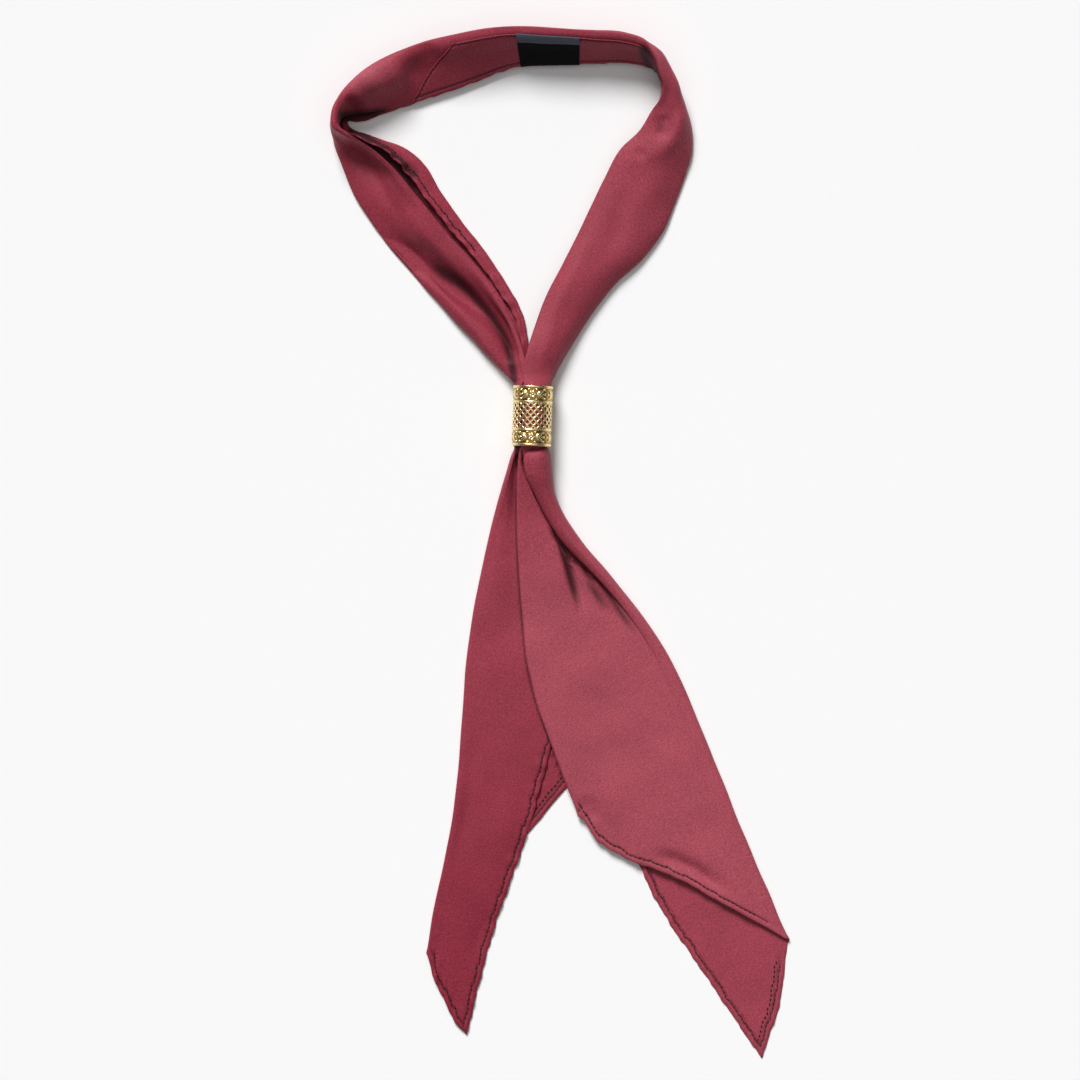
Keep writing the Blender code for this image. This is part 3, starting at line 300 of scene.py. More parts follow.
RIGHT_TAIL_CREASES = (
    # the line where the rolled fold lies over the panel
    (((-19.0, 46.0), (-16.0, 34.3), (-10.0, 21.8), (-2.5, 8.3), (9.0, -7.3), (20.0, -15.8),
      (29.5, -28.3), (42.0, -42.8)), 0.9, 1.0, 2.4, 0.02, 0.35, "upper"),
    (((-1.0, 8.0), (3.4, -4.0), (7.0, -17.0), (10.4, -30.0), (13.0, -46.0)),
     2.2, 3.4, 2.6, 0.1, 0.55, "upper", 1.9),
    (((4.0, 0.0), (11.5, -12.0), (18.0, -23.5), (24.0, -37.0)), 1.6, 2.8, 1.5, 0.12, 0.45, "upper", 1.2),
    (((12.0, -10.0), (22.0, -21.5), (31.0, -33.0), (39.0, -47.0)), 1.6, 3.0, 1.8, 0.12, 0.45, "upper"),
    (((-1.0, 4.0), (2.0, -12.0), (5.0, -28.0)), 2.4, 4.0, -0.9, 0.25, 0.5, "upper"),
    (((46.0, -156.0), (60.0, -160.0), (73.0, -167.0), (87.0, -179.0)), 3.6, 3.6, 2.3, 0.3, 0.35, "upper"),
    (((13.0, -126.0), (20.0, -142.0)), 4.0, 4.5, 0.9, 0.4, 0.4, "upper"),
    (((10.0, -60.0), (18.0, -95.0), (24.0, -120.0)), 8.0, 9.0, 0.6, 0.4, 0.4, "upper"),
    (((44.0, -70.0), (62.0, -110.0), (84.0, -150.0)), 8.0, 9.0, -0.6, 0.4, 0.4, "upper"),
    (((62.0, -190.0), (82.0, -212.0), (96.0, -236.0)), 7.0, 6.0, -0.5, 0.4, 0.4, "lower"),
)

# Painted shade in deep folds, where little light comes in, in the columns of the creases. depth:
# how dark the painted shade is, 1 as dark as a seam's. ply: also "behind" for all that is behind
# the outer ply, and "all" for every ply.
LOOP_SHADES = (
    # mouth of the left turn, gap beside the left crest, and under the right turn
    (((-110.0, 212.0), (-101.5, 213.0), (-93.0, 214.2), (-80.0, 217.6)), 3.6, 1.8, 1.4, 0.05, 0.3, "behind"),
    (((-106.5, 207.4), (-94.0, 198.9), (-85.7, 193.0), (-77.3, 185.6), (-71.5, 179.5)),
     3.4, 4.2, 1.6, 0.1, 0.12, "behind"),
    (((-77.0, 182.0), (-73.0, 176.0), (-63.0, 163.3), (-52.0, 148.5)), 2.4, 1.0, 1.2, 0.1, 0.2, "behind"),
    (((40.0, 250.8), (44.6, 243.4), (48.4, 234.8), (51.6, 225.0)), 3.2, 2.8, 1.2, 0.25, 0.10, "behind"),
    # valley of the left front, dimple of the right front
    (((-70.0, 146.0), (-58.0, 135.6), (-48.0, 128.4), (-39.0, 119.6), (-30.6, 108.8), (-25.4, 98.5),
      (-23.0, 88.0), (-21.2, 76.0)), 3.4, 2.0, 1.2, 0.16, 0.06, "all"),
    (((50.5, 213.5), (51.0, 208.0), (50.0, 203.0)), 3.6, 3.2, 0.42, 0.35, 0.35, "all"),
)
LEFT_TAIL_SHADES = (
    # where the right tail lies over the left one
    (((-20.6, 50.0), (-20.4, 34.0)), 1.8, 0.9, 1.2, 0.05, 0.3, "upper"),
    (((-20.5, 40.0), (-20.6, 4.8), (-18.8, -29.3), (-15.8, -59.3), (-11.8, -77.3), (-3.4, -101.8),
      (4.0, -122.3)), 0.9, 1.0, 0.85, 0.1, 0.05, "all"),
)
RIGHT_TAIL_SHADES = (
    # the opening beside the rolled fold, the three pleats below it, the cloth between them, and
    # the line where the roll lies over the panel
    (((-3.0, 10.0), (3.0, -1.0), (10.0, -11.0), (18.0, -20.0)), 3.6, 3.2, 0.85, 0.05, 0.45, "upper"),
    (((-3.0, 9.0), (1.5, -2.5), (6.2, -19.0), (9.0, -30.0), (10.5, -41.0)),
     1.9, 1.8, 1.2, 0.03, 0.5, "upper", 1.6),
    (((6.0, -4.0), (12.2, -11.6), (17.0, -21.6), (22.0, -31.8), (25.5, -42.0)),
     1.7, 2.1, 1.1, 0.08, 0.45, "upper"),
    (((16.0, -16.0), (23.0, -24.6), (29.6, -33.6), (36.8, -42.6), (43.5, -52.0)),
     1.7, 2.3, 1.0, 0.08, 0.45, "upper"),
    (((3.0, 0.0), (12.0, -14.0), (23.0, -30.0), (33.0, -45.0)), 6.5, 7.5, 0.42, 0.1, 0.5, "upper"),
    (((-19.0, 47.8), (-16.0, 34.3), (-10.0, 21.8), (-2.5, 8.3), (9.0, -7.3), (20.0, -15.8), (29.5, -28.3),
      (42.0, -42.8)), 0.8, 0.8, 0.95, 0.02, 0.45, "upper"),
)

# Unevenness of the cloth. The slack's waves have their lengths along X and Y, height and shift;
# the waves along a hem have their length, size and shift.
SLACK_WAVES = ((31.0, 47.0, 0.10, 0.6), (-43.0, 38.0, 0.09, 2.1), (71.0, -29.0, 0.08, 4.0))
PUCKER_WAVES = ((7.3, 0.28, 0.4), (12.4, 0.42, 2.2))
SWAY_WAVES = ((4.8, 0.18, 0.0), (13.0, 0.17, 1.0), (29.0, 0.13, 3.0))
EDGE_WAVES = ((5.3, 0.13, 0.3), (9.1, 0.17, 1.7), (21.0, 0.20, 0.6))
PUCKER_SPELL = 83.0        # distance over which the puckers of a hem grow and fade
PUCKER_CALM = 0.45         # size of the puckers where they are smallest, as a share
PUCKER_REACH = 3.5         # how far in from the edge they reach
EDGE_REACH = 2.4           # how far in from a hem's edge its unevenness reaches

# Seams
SEAM_WIDTH = 0.55          # half the width of the cloth that a seam draws in
SEAM_EVEN = 0.75           # share of a seam's pull that stays between its stitches
SECOND_STITCH = 4.8        # from a tail's end to the second seam of its lower ply
SECOND_RAISED = 0.35       # how far that seam's stitches stand on the inner side
SEAM_TRIM = 2.4            # length left without stitches beside a fold
LEAST_SEAM = 9.6           # shortest stretch of a hem that is stitched
PLAIN_HEM = 0.6            # thickness, as a share, from which a hem counts as clear of a fold
THIN_HEM = 0.8             # how much thinner a hem is where it crosses a fold, as a share
LOWEST_STITCH = 0.3        # height of the stitches' middle on the underside
# Painted shade of the seams: a dark line painted along a folded-back hem's free edge, and how bright the
# cloth is painted where stitches press it or where it lies deep in a fold
FREE_EDGE_SHADOW = 0.8            # how dark the free edge of a folded-back hem is, as a share of a seam
SEAM_SHADE = 0.2           # brightness of the cloth where stitches press it, or deep in a fold

CREASE_STEPS = 40          # straight pieces of a crease's path
CREASE_REACH = 2.5         # how far from its path a crease reaches, for each half of its width
PLY_EDGE = 1.5             # how fast a ply's creases fade at its ends, for each knot across
FOLD_EDGE = 2.0            # the same for a hem that thins where it crosses a fold
BEHIND_MARGINS = (1.0, 0.4)    # knots before and after the outer ply that aren't behind it
FOLD_MARGIN = 0.6          # knots of a ply's end, across, that count as part of its fold

# Steps across from knot to knot, and the distance from row to row
LOOP_STEPS = (3, 3, 3, 3, 5, 5, 3, 8, 8, 8, 8, 4, 4, 8, 8)
LOOP_SPACING = 1.2         # the loop's rows lie further apart, as a share of the mesh spacing
LEFT_TAIL_STEPS = (10, 8, 4, 3, 3, 12, 12, 14, 10)
RIGHT_TAIL_STEPS = (12, 12, 3, 3, 5, 5, 4, 14, 13, 13, 9, 5, 4, 5)
FLAP_ROWS = (7.1, 12.6)    # rows of the loop between which the turned-back hem shows
TAIL_HEMS_FROM = 4.5       # row of a tail from which its long edges' hems are built
HEM_ROOM = 0.8             # share of the way to the next knot that a hem's columns may take
LEAST_SLANT = 0.35         # flattest slant of a hemmed end that is allowed for
END_PROBE = 1.0            # how far before a tail's end its slant is measured

# Facing and label: places across, end rows at the top and at the bottom, and how far they are raised
FACING_ACROSS = (13.15, 14.97)
FACING_LEFT, FACING_RIGHT = (18.75, 17.2), (25.5, 25.5)
FACING_COLUMNS, FACING_STEPS = 40, 170
FACING_RAISED, FACING_PULL = 0.75, 0.3
FACING_SLANT_STITCH, FACING_TOP_STITCH, FACING_LOW_STITCH = 0.8, 0.8, 2.0
LABEL_ACROSS, LABEL_FOLD_ACROSS = (13.1, 15.0), (13.08, 13.5)
LABEL_LEFT, LABEL_RIGHT = (20.2, 20.2), (21.67, 21.67)
LABEL_COLUMNS, LABEL_STEPS = 14, 40
LABEL_RAISED, LABEL_FOLD_RAISED, LABEL_FOLD_WALL = 1.25, 1.6, 0.5

# Parts of the ring: their spans along it from its middle, and their radii
LATTICE_SPAN, LATTICE_RADIUS, LATTICE_WALL, LATTICE_ROWS = 6.7, 9.75, 0.65, 4
BAR_ROUND = 0.16
BAND_SPAN, BAND_RADIUS, BAND_WALL, BAND_STEPS = (7.3, 13.9), 9.45, 0.45, (300, 34)
END_BEAD, INNER_BEAD, BEAD_INNER = (13.7, 15.0), (6.5, 7.5), 9.0
RIM_STEPS, RIM_ROUND = 96, 0.38
# Leaf pattern of the bands, repeated round the ring: a rosette of petals round a sunk ring and a
# raised button, then leaves and dots, with the width of each one's slope. A leaf: its middle
# round and along the ring, lean, half its length and half its width. A dot: its middle and
# radius.
RELIEF_REPEATS = 4
PETALS, PETAL_FOOT, PETAL_LENGTH, PETAL_LOW = 5, 1.45, 0.80, 0.75
SUNK_RING, SUNK_HEIGHT, BUTTON = 0.85, 0.25, 0.55
PETAL_REACH = 2.1
PETAL_SLOPE, BUTTON_SLOPE, LEAF_SLOPE, DOT_SLOPE = 0.5, 0.25, 0.42, 0.3
VEIN_DEPTH, VEIN_WIDTH = 0.4, 0.15
LEAVES = ((4.1, 0.95, 30, 2.4, 0.95), (4.1, -1.05, -28, 2.4, 0.95), (6.5, 0.0, 0, 1.3, 0.65),
          (2.3, 2.5, 6, 1.2, 0.42), (2.3, -2.55, -6, 1.2, 0.42))
DOTS = ((6.6, 2.2, 0.6), (6.6, -2.2, 0.6))

# Plies of each stretch of cloth, by the knots across between which they lie
LOOP_PLIES = {"flap": (-1.0, 2.2), "back": (4.4, 6.4), "front": (6.6, 12.0), "neck": (12.2, 16.0)}
LEFT_TAIL_PLIES = {"lower": (-1.0, 3.0), "upper": (5.0, 10.0)}
RIGHT_TAIL_PLIES = {"lower": (-1.0, 2.0), "upper": (5.4, 11.6), "return": (12.8, 16.0)}
# Which side of each net of points, by its normals, is the inner side of the folded strip
LOOP_INSIDE, LEFT_TAIL_INSIDE, RIGHT_TAIL_INSIDE = -1, 1, -1

# Painted sheen: where the satin is painted as catching more or less light, from 0 to 1: a table for
# each stretch of cloth
LOOP_LIGHT = {"even": 0.52, "right": 0.10, "middle": -10.0, "spread": 40.0,
              "turn": 0.42, "turn_place": (-95.0, 231.0), "turn_size": (17.0, 11.0)}
LEFT_TAIL_LIGHT = {"even": 0.50, "end": -0.24, "from": -20.0, "over": 200.0}
RIGHT_TAIL_LIGHT = {"even": 0.58, "upper": 0.20, "from": 30.0, "over": 70.0, "above": 0.8, "rise": 2.0}

# Numbers of a mix node's colour sockets, because several of its sockets share a name
MIX_FIRST, MIX_SECOND, MIX_RESULT = 6, 7, 2

# Stage: sizes in metres, the light's way and its angle. The camera looks straight down from
# above its place in the plan of the tables.
FLOOR_HALF = 1.5
KEY_FROM, KEY_ANGLE = (-0.30, 0.90, 0.85), 22.0
OVERHEAD_HEIGHT, OVERHEAD_SIZE = 2.4, 3.0
CAMERA_PLACE = (-9.0, 0.75)
CAMERA_HEIGHT = 2000.0
FRAME_WIDTH = 540.0        # width of the floor that the square picture takes in
SENSOR = 36.0


class ClothSettings(bpy.types.PropertyGroup):
    """Sizes and colours of the cloth and its sewing."""
    spacing: bpy.props.FloatProperty(
        name="Mesh spacing", description="Distance from row to row of the cloth's mesh",
        default=0.0009, min=0.0004, max=0.005, precision=4, unit="LENGTH")
    stitch_pitch: bpy.props.FloatProperty(
        name="Stitch pitch", description="Distance from stitch to stitch",
        default=0.0024, min=0.001, max=0.006, precision=4, unit="LENGTH")
    stitch_length: bpy.props.FloatProperty(
        name="Stitch length", description="Length of the thread that shows at each stitch",
        default=0.0017, min=0.0005, max=0.005, precision=4, unit="LENGTH")
    thread: bpy.props.FloatProperty(
        name="Thread", description="Thickness of the sewing thread",
        default=0.00075, min=0.0002, max=0.001, precision=5, unit="LENGTH")
    colour: bpy.props.FloatVectorProperty(
        name="Cloth colour", description="Burgundy of the satin crepe",
        subtype="COLOR", size=4, min=0.0, max=1.0, default=(0.370, 0.050, 0.082, 1.0))
    deep_colour: bpy.props.FloatVectorProperty(
        name="Deep cloth colour", description="Darker tone between the crepe's grains",
        subtype="COLOR", size=4, min=0.0, max=1.0, default=(0.235, 0.023, 0.040, 1.0))
    thread_colour: bpy.props.FloatVectorProperty(
        name="Thread colour", description="Dark maroon of the sewing thread",
        subtype="COLOR", size=4, min=0.0, max=1.0, default=(0.022, 0.002, 0.004, 1.0))
    label_colour: bpy.props.FloatVectorProperty(
        name="Label colour", description="Black of the woven label",
        subtype="COLOR", size=4, min=0.0, max=1.0, default=(0.0018, 0.0018, 0.0022, 1.0))
    label_fold_colour: bpy.props.FloatVectorProperty(
        name="Label fold colour", description="Grey of the label's folded top edge",
        subtype="COLOR", size=4, min=0.0, max=1.0, default=(0.085, 0.090, 0.120, 1.0))


class RingSettings(bpy.types.PropertyGroup):
    """Sizes and colours of the slide ring."""
    columns: bpy.props.IntProperty(
        name="Openings round", description="Openings in one row round the ring",
        default=19, min=8, max=40)
    bar: bpy.props.FloatProperty(
        name="Bar width", description="Width of the bars between the openings",
        default=0.0008, min=0.0003, max=0.002, precision=4, unit="LENGTH")
    relief: bpy.props.FloatProperty(
        name="Relief height", description="Height of the leaves over their ground",
        default=0.00045, min=0.0001, max=0.001, precision=5, unit="LENGTH")
    colour: bpy.props.FloatVectorProperty(
        name="Gold", description="Colour of the polished gold",
        subtype="COLOR", size=4, min=0.0, max=1.0, default=(1.0, 0.79, 0.41, 1.0))
    ground_colour: bpy.props.FloatVectorProperty(
        name="Darkened gold", description="Colour of the ground between the leaves",
        subtype="COLOR", size=4, min=0.0, max=1.0, default=(0.44, 0.28, 0.08, 1.0))


class StageSettings(bpy.types.PropertyGroup):
    """Floor, light and camera."""
    floor_colour: bpy.props.FloatVectorProperty(
        name="Floor colour", description="Pale floor under the tie",
        subtype="COLOR", size=4, min=0.0, max=1.0, default=(0.93, 0.93, 0.93, 1.0))
    key: bpy.props.FloatProperty(
        name="Key light", description="Strength of the soft light from beyond the neckband",
        default=3.5, min=0.0, max=20.0)
    overhead: bpy.props.FloatProperty(
        name="Overhead light", description="Power of the large light straight above",
        default=15.8, min=0.0, max=500.0, subtype="POWER")
    fill: bpy.props.FloatProperty(
        name="Fill", description="Strength of the even light from all round",
        default=0.10, min=0.0, max=5.0)


def table(columns, rows):
    """The columns of a table, each as an array, by name."""
    return dict(zip(columns, np.array(rows, dtype=float).T))


def soft(share):
    """A smooth step from 0 to 1."""
    share = np.clip(share, 0.0, 1.0)
    return share * share * (3 - 2 * share)


def share_between(limits, value):
    """How far a value is on the way between two limits."""
    return (value - limits[0]) / (limits[1] - limits[0])


def curve_through(places, values, wanted, slopes):
    """Read a smooth curve through values at the wanted places, from the slope at each value."""
    places, wanted = np.asarray(places, float), np.asarray(wanted, float)
    first = np.clip(np.searchsorted(places, wanted, side="right") - 1, 0, len(places) - 2)
    step = places[first + 1] - places[first]
    t = (wanted - places[first]) / step
    shape = (-1,) + (1,) * (values.ndim - 1)
    t, step = t.reshape(shape), step.reshape(shape)
    start, end = values[first], values[first + 1]
    leave, arrive = slopes[first] * step, slopes[first + 1] * step
    return ((1 + 2 * t) * (1 - t) ** 2 * start + t * (1 - t) ** 2 * leave
            + t ** 2 * (3 - 2 * t) * end + t ** 2 * (t - 1) * arrive)


def flowing(places, values, wanted):
    """A curve that runs freely through its values, as a cloth edge does."""
    values = np.asarray(values, float)
    return curve_through(places, values, wanted, np.gradient(values, places, axis=0))


def steady(places, values, wanted):
    """A curve that never swings past its values, so plies stay flat and folds stay round."""
    values = np.asarray(values, float)
    shape = (-1,) + (1,) * (values.ndim - 1)
    rates = np.diff(values, axis=0) / np.diff(places).reshape(shape)
    before, after = rates[:-1], rates[1:]
    same_way = before * after > 0
    total = np.where(same_way, before + after, 1.0)
    slopes = np.zeros_like(values)
    slopes[1:-1] = np.where(same_way, 2 * before * after / total, 0.0)
    slopes[0], slopes[-1] = rates[0], rates[-1]
    return curve_through(places, values, wanted, slopes)


def ring_frame():
    """The ring's own axes: across it, and along it towards the neck."""
    turn = math.radians(RING_TURN)
    across = np.array((math.cos(turn), math.sin(turn), 0.0))
    along = np.array((-math.sin(turn), math.cos(turn), 0.0))
    return across, along


def on_circle(angle):
    """A place on the round side of the bunched cloth, from the ring's axis."""
    return BUNCH_RADIUS * np.array((math.cos(math.radians(angle)), math.sin(math.radians(angle))))


def bunch(angles, corner_low, corner_high, shares):
    """Knots of a strand inside the ring: along its round side, and in at both corners.

    The two strands meet at a slanted line between the corners. angles are the knots on the
    round side; shares are how far in from each corner the spare cloth reaches on that line.
    """
    low, high = on_circle(corner_low), on_circle(corner_high)
    inner = [low + (high - low) * share for share in shares]
    outer = [high + (low - high) * share for share in reversed(shares)]
    round_side = [on_circle(angle) for angle in angles]
    return np.array(inner + [low] + round_side + [high] + outer)


def grip_places(knots, stations):
    """Put a strand's knots in the ring, one copy for each station along the ring's axis."""
    across, along = ring_frame()
    centre = np.array(RING_CENTRE)
    return np.array([centre + along * station + np.outer(knots[:, 0], across)
                     + np.outer(knots[:, 1], (0.0, 0.0, 1.0)) for station in stations])


def places_by_grip(free, strand, row, y_column):
    """Knots that lie free, drawn into the ring's bunch by each row's grip."""
    stations = (np.asarray(row[y_column]) - RING_CENTRE[1]) / math.cos(math.radians(RING_TURN))
    grip = row["grip"][:, None, None]
    return free * (1 - grip) + grip_places(strand, stations) * grip


def loop_section(row, reach, flap, turn_in, stands_open):
    """Knots across one section of the loop, as distance inwards and height: from the hem's
    edge under the strip, round the folds, to the edge of the ply behind the upper fold."""
    inset, width = WALL / 2, row["width"] - WALL
    foot = inset + row["foot"] * width
    start = np.array((foot + FOOT_LEAN, REST + FOOT_FOLD))
    end = np.array((inset + row["top"] * width, row["rise"]))
    slant = (end - start) / np.linalg.norm(end - start)
    end[0] -= TOP_FOLD * slant[1] * row["top"]
    length = np.linalg.norm(end - start)
    chord = (end - start) / length
    out = np.array((-chord[1], chord[0]))
    panel = [start + (end - start) * share + out * row[name] for name, share in PANEL_SHARES]
    fold_start = end - chord * TOP_FOLD
    fold_top = end - out * TOP_FOLD
    fold_end = fold_start - out * 2 * TOP_FOLD
    sink = min(row["high"], 0.0) + min(row["mid"], 0.0) / 2
    far_back = np.clip(share_between(FOLLOW_SHARES, turn_in), 0.0, 1.0)
    edge = fold_end - chord * max(length * turn_in - TOP_FOLD, LEAST_TURN_IN) + out * sink * far_back
    far = inset + width * reach
    hem = far - HEM_FOLD
    over = REST + 2 * HEM_FOLD
    to_rim = soft(share_between(RIM_SHARES, turn_in))
    edge = edge * (1 - to_rim) + np.array((far - RIM_PLACE[0], over + RIM_PLACE[1])) * to_rim
    lower = [(hem - flap, over + stands_open), (hem - flap / 2, over + stands_open / 2), (hem, over),
             (far, REST + HEM_FOLD), (hem, REST), ((far + foot) / 2, REST),
             (foot + FOOT_FOLD, REST), (foot, REST + FOOT_FOLD)]
    lower = [np.array(knot) for knot in lower]
    return np.array(lower + panel + [fold_start, fold_top, fold_end, (fold_end + edge) / 2, edge])


def loop_knots():
    """Knots of the whole loop, row by row, from inside the ring round the neck and back."""
    rows = table(LOOP_COLUMNS, LOOP_ROWS)
    inside = table(INSIDE_COLUMNS, INSIDE_ROWS)
    numbers = np.arange(len(LOOP_ROWS))
    under = [steady(inside["row"], inside[name], numbers) for name in INSIDE_COLUMNS[1:]]
    free = []
    for number, values in enumerate(LOOP_ROWS):
        row = dict(zip(LOOP_COLUMNS, values))
        section = loop_section(row, *(column[number] for column in under))
        heading = math.radians(row["heading"])
        inwards = np.array((math.cos(heading), math.sin(heading), 0.0))
        free.append(np.array((row["x"], row["y"], 0.0)) + np.outer(section[:, 0], inwards)
                    + np.outer(section[:, 1], (0.0, 0.0, 1.0)))
    half = len(LEFT_LEG_ROWS) + len(NECKBAND_ROWS) // 2
    left = {name: column[:half] for name, column in rows.items()}
    right = {name: column[half:] for name, column in rows.items()}
    free = np.array(free)
    left_strand = bunch(LEFT_LEG_ANGLES, *LEFT_CORNERS, LEG_SHARES)
    right_strand = bunch(RIGHT_LEG_ANGLES, *RIGHT_CORNERS, LEG_SHARES)
    return np.concatenate((places_by_grip(free[:half], left_strand, left, "y"),
                           places_by_grip(free[half:], right_strand, right, "y")))


def run_of(line):
    """Distance of each point of a line from its start, along the line."""
    return np.concatenate(([0.0], np.cumsum(np.linalg.norm(np.diff(line, axis=0), axis=1))))


def unit(vector):
    """A vector of length 1 that points the same way."""
    return vector / np.linalg.norm(vector)


def tail_points(row, names):
    """The plan places of a tail's row, by their names."""
    return (np.array((row[name + "_x"], row[name + "_y"], 0.0)) for name in names)


def endwards(start, end):
    """The way across a line from start to end that points to the tail's end."""
    way = np.cross(unit(end - start), (0.0, 0.0, 1.0))
    return way if way[1] < 0 else -way


def left_tail_knots():
    """Knots of the left tail: lower ply from its long edge, fold, upper ply to its hem."""
    free = []
    up = np.array((0.0, 0.0, 1.0))
    for values in LEFT_TAIL_ROWS:
        row = dict(zip(LEFT_TAIL_COLUMNS, values))
        fold, hem, back = tail_points(row, ("fold", "hem", "back"))
        fold = fold + unit(hem - fold) * WALL / 2
        lift, bow = row["lift"], endwards(fold, hem) * row["bulge"]
        round_in = min((lift - REST) / 2, np.linalg.norm(hem - fold) / ROUND_PARTS)
        lower = [back + (fold - back) * share + up * REST for share in LEFT_LOWER_LINE]
        turned = [fold + unit(back - fold) * round_in + up * REST, fold + up * (REST + lift) / 2,
                  fold + unit(hem - fold) * round_in + up * lift]
        upper = [fold + (hem - fold) * share + bow * sag + up * (REST + PLY + (lift - REST - PLY) * high)
                 for share, sag, high in LEFT_UPPER_LINE]
        free.append(lower + turned + upper)
    rows = table(LEFT_TAIL_COLUMNS, LEFT_TAIL_ROWS)
    return places_by_grip(np.array(free), bunch(LEFT_TAIL_ANGLES, *LEFT_CORNERS, TAIL_SHARES),
                          rows, "fold_y")


def right_tail_knots():
    """Knots of the right tail: lower ply from its hem, rolled fold, upper ply, left roll."""
    free = []
    up = np.array((0.0, 0.0, 1.0))
    for values in RIGHT_TAIL_ROWS:
        row = dict(zip(RIGHT_TAIL_COLUMNS, values))
        left, fold, hem = tail_points(row, ("left", "fold", "hem"))
        across = unit(left - fold)
        left, fold = left - across * WALL / 2, fold + across * WALL / 2
        width, roll = np.linalg.norm(left - fold), row["roll"]
        drop = row["roll_rise"] - row["dip"]
        steep = min(drop / STEEP_DROP, 1.0)
        beside = BESIDE_ROLL - OVERHANG * steep + SOFT_FOOT * (1 - steep) ** 2
        nose = roll + max(NOSE_OUT * steep, NOSE_SHARE * beside)
        inner, dip_at, last = row["inner"], roll + beside, width - LEFT_ROLL
        hang, bow = endwards(fold, left) * row["hang"], endwards(fold, hem) * row["bulge"]
        upper = [fold + across * (dip_at + (last - dip_at) * share) + hang * sag
                 + up * (row["panel"] * (1 - share) + inner * share) for share, sag in UPPER_PLY_LINE]
        back = last - min(LEFT_RETURN, (last - dip_at) * RETURN_SHARE)
        free.append([hem + up * REST, (hem + fold) / 2 + bow + up * REST,
                     fold + unit(hem - fold) * TURN_UNDER + up * REST,
                     fold + up * (REST + row["roll_rise"]) / 2,
                     fold + across * roll / 2 + up * row["roll_rise"],
                     fold + across * nose + up * (row["dip"] + drop * NOSE_HEIGHT),
                     fold + across * dip_at + up * row["dip"]] + upper +
                    [fold + across * last + up * inner, left + up * (inner - LEFT_ROLL),
                     fold + across * last + up * (inner - 2 * LEFT_ROLL),
                     fold + across * back + up * (inner - 2 * LEFT_ROLL)])
    rows = table(RIGHT_TAIL_COLUMNS, RIGHT_TAIL_ROWS)
    return places_by_grip(np.array(free), bunch(RIGHT_TAIL_ANGLES, *RIGHT_CORNERS, TAIL_SHARES),
                          rows, "fold_y")


def between(first, last, across, edge=PLY_EDGE):
    """1 for places across between two knots, 0 outside them, with soft ends."""
    return soft((across - first) * edge) * soft((last - across) * edge)


class Cloth:
    """A cloth surface through knots: rows of knots along the strip, each row across it."""

    def __init__(self, knots, creases, plies, inside, upper="upper"):
        self.knots = knots
        self.upper = upper
        steps = np.linalg.norm(np.diff(knots, axis=0), axis=2).mean(axis=1)
        self.lengths = np.concatenate(([0.0], np.cumsum(steps)))
        self.creases, self.plies, self.inside = creases, plies, inside
        limits = sorted(plies.values())
        self.folds = [(before[1] - FOLD_MARGIN, after[0] + FOLD_MARGIN)
                      for before, after in zip(limits, limits[1:])]

    def length_at(self, row):
        """Distance along the cloth of a row's number, which may lie between two rows."""
        return np.interp(row, np.arange(len(self.lengths)), self.lengths)

    def lines(self, across):
        """The lines of the rows, read at places across that count knots."""
        numbers = np.arange(self.knots.shape[1])
        across = np.broadcast_to(across, (len(self.knots), np.shape(across)[-1]))
        lines = []
        for row, wanted in zip(self.knots, across):
            places = run_of(row)
            lines.append(steady(places, row, np.interp(wanted, numbers, places)))
        return np.array(lines)

    def net(self, across, along):
        """A net of points with its creases. along is the distance along the cloth of each point."""
        lines = self.lines(across)
        columns = [flowing(self.lengths, lines[:, number], along[:, number])
                   for number in range(lines.shape[1])]
        points = np.stack(columns, axis=1)
        middle = np.mean(np.atleast_2d(across), axis=0)
        points -= self.inner_side(points) * self.heights(points, middle)[..., None]
        return self.laid(points, middle)

    def laid(self, points, across):
        """Keep every point over the surface, and the upper ply over the lower one."""
        lowest = REST + PLY * self.in_ply(self.upper, across)
        points[..., 2] = np.maximum(points[..., 2], lowest)
        return points

    def inner_side(self, points):
        """Unit normals of a net, towards the inner side of the folded strip."""
        normals = np.cross(np.gradient(points, axis=1), np.gradient(points, axis=0))
        length = np.linalg.norm(normals, axis=-1, keepdims=True)
        return normals / np.maximum(length, TINY) * self.inside

    def in_ply(self, name, across):
        """How far each place across lies in a ply, 0 to 1."""
        if name == "all":
            return np.ones_like(across)
        if name == "behind":
            first, last = self.plies[self.upper]
            before, after = BEHIND_MARGINS
            return 1 - between(first - before, last + after, across)
        return between(*self.plies[name], across)

    def shade(self, points, across, shades):
        """How much painted shade each point gets from lying deep in a fold, 0 to 1."""
        seen = seen_from_above(points)
        dark = np.zeros(seen.shape[:-1])
        for values in shades:
            fold = dict(zip(CREASE_COLUMNS, values))
            dark = np.maximum(dark, -crease_height(seen, fold) * self.in_ply(fold["ply"], across))
        return np.minimum(dark, 1.0)

    def heights(self, points, across):
        """How far each point stands out of the smooth cloth, from the creases and the slack."""
        seen = seen_from_above(points)
        heights = slack(seen)
        for values in self.creases:
            crease = dict(zip(CREASE_COLUMNS, values))
            heights += crease_height(seen, crease) * self.in_ply(crease["ply"], across)
        return heights


def seen_from_above(points):
    """Where points show on the floor's plan, seen by the camera."""
    eye = np.array(CAMERA_PLACE)
    nearer = 1 / (1 - points[..., 2:3] / CAMERA_HEIGHT)
    return eye + (points[..., :2] - eye) * nearer


def slack(seen):
    """The cloth's faint unevenness, from three long crossing waves."""
    total = np.zeros(seen.shape[:-1])
    for length_x, length_y, height, shift in SLACK_WAVES:
        total += height * np.sin(2 * np.pi * (seen[..., 0] / length_x + seen[..., 1] / length_y) + shift)
    return total


def path_points(path, steps):
    """A smooth line through the points of a path."""
    path = np.array(path, float)
    return flowing(np.arange(len(path)), path, np.linspace(0, len(path) - 1, steps + 1))


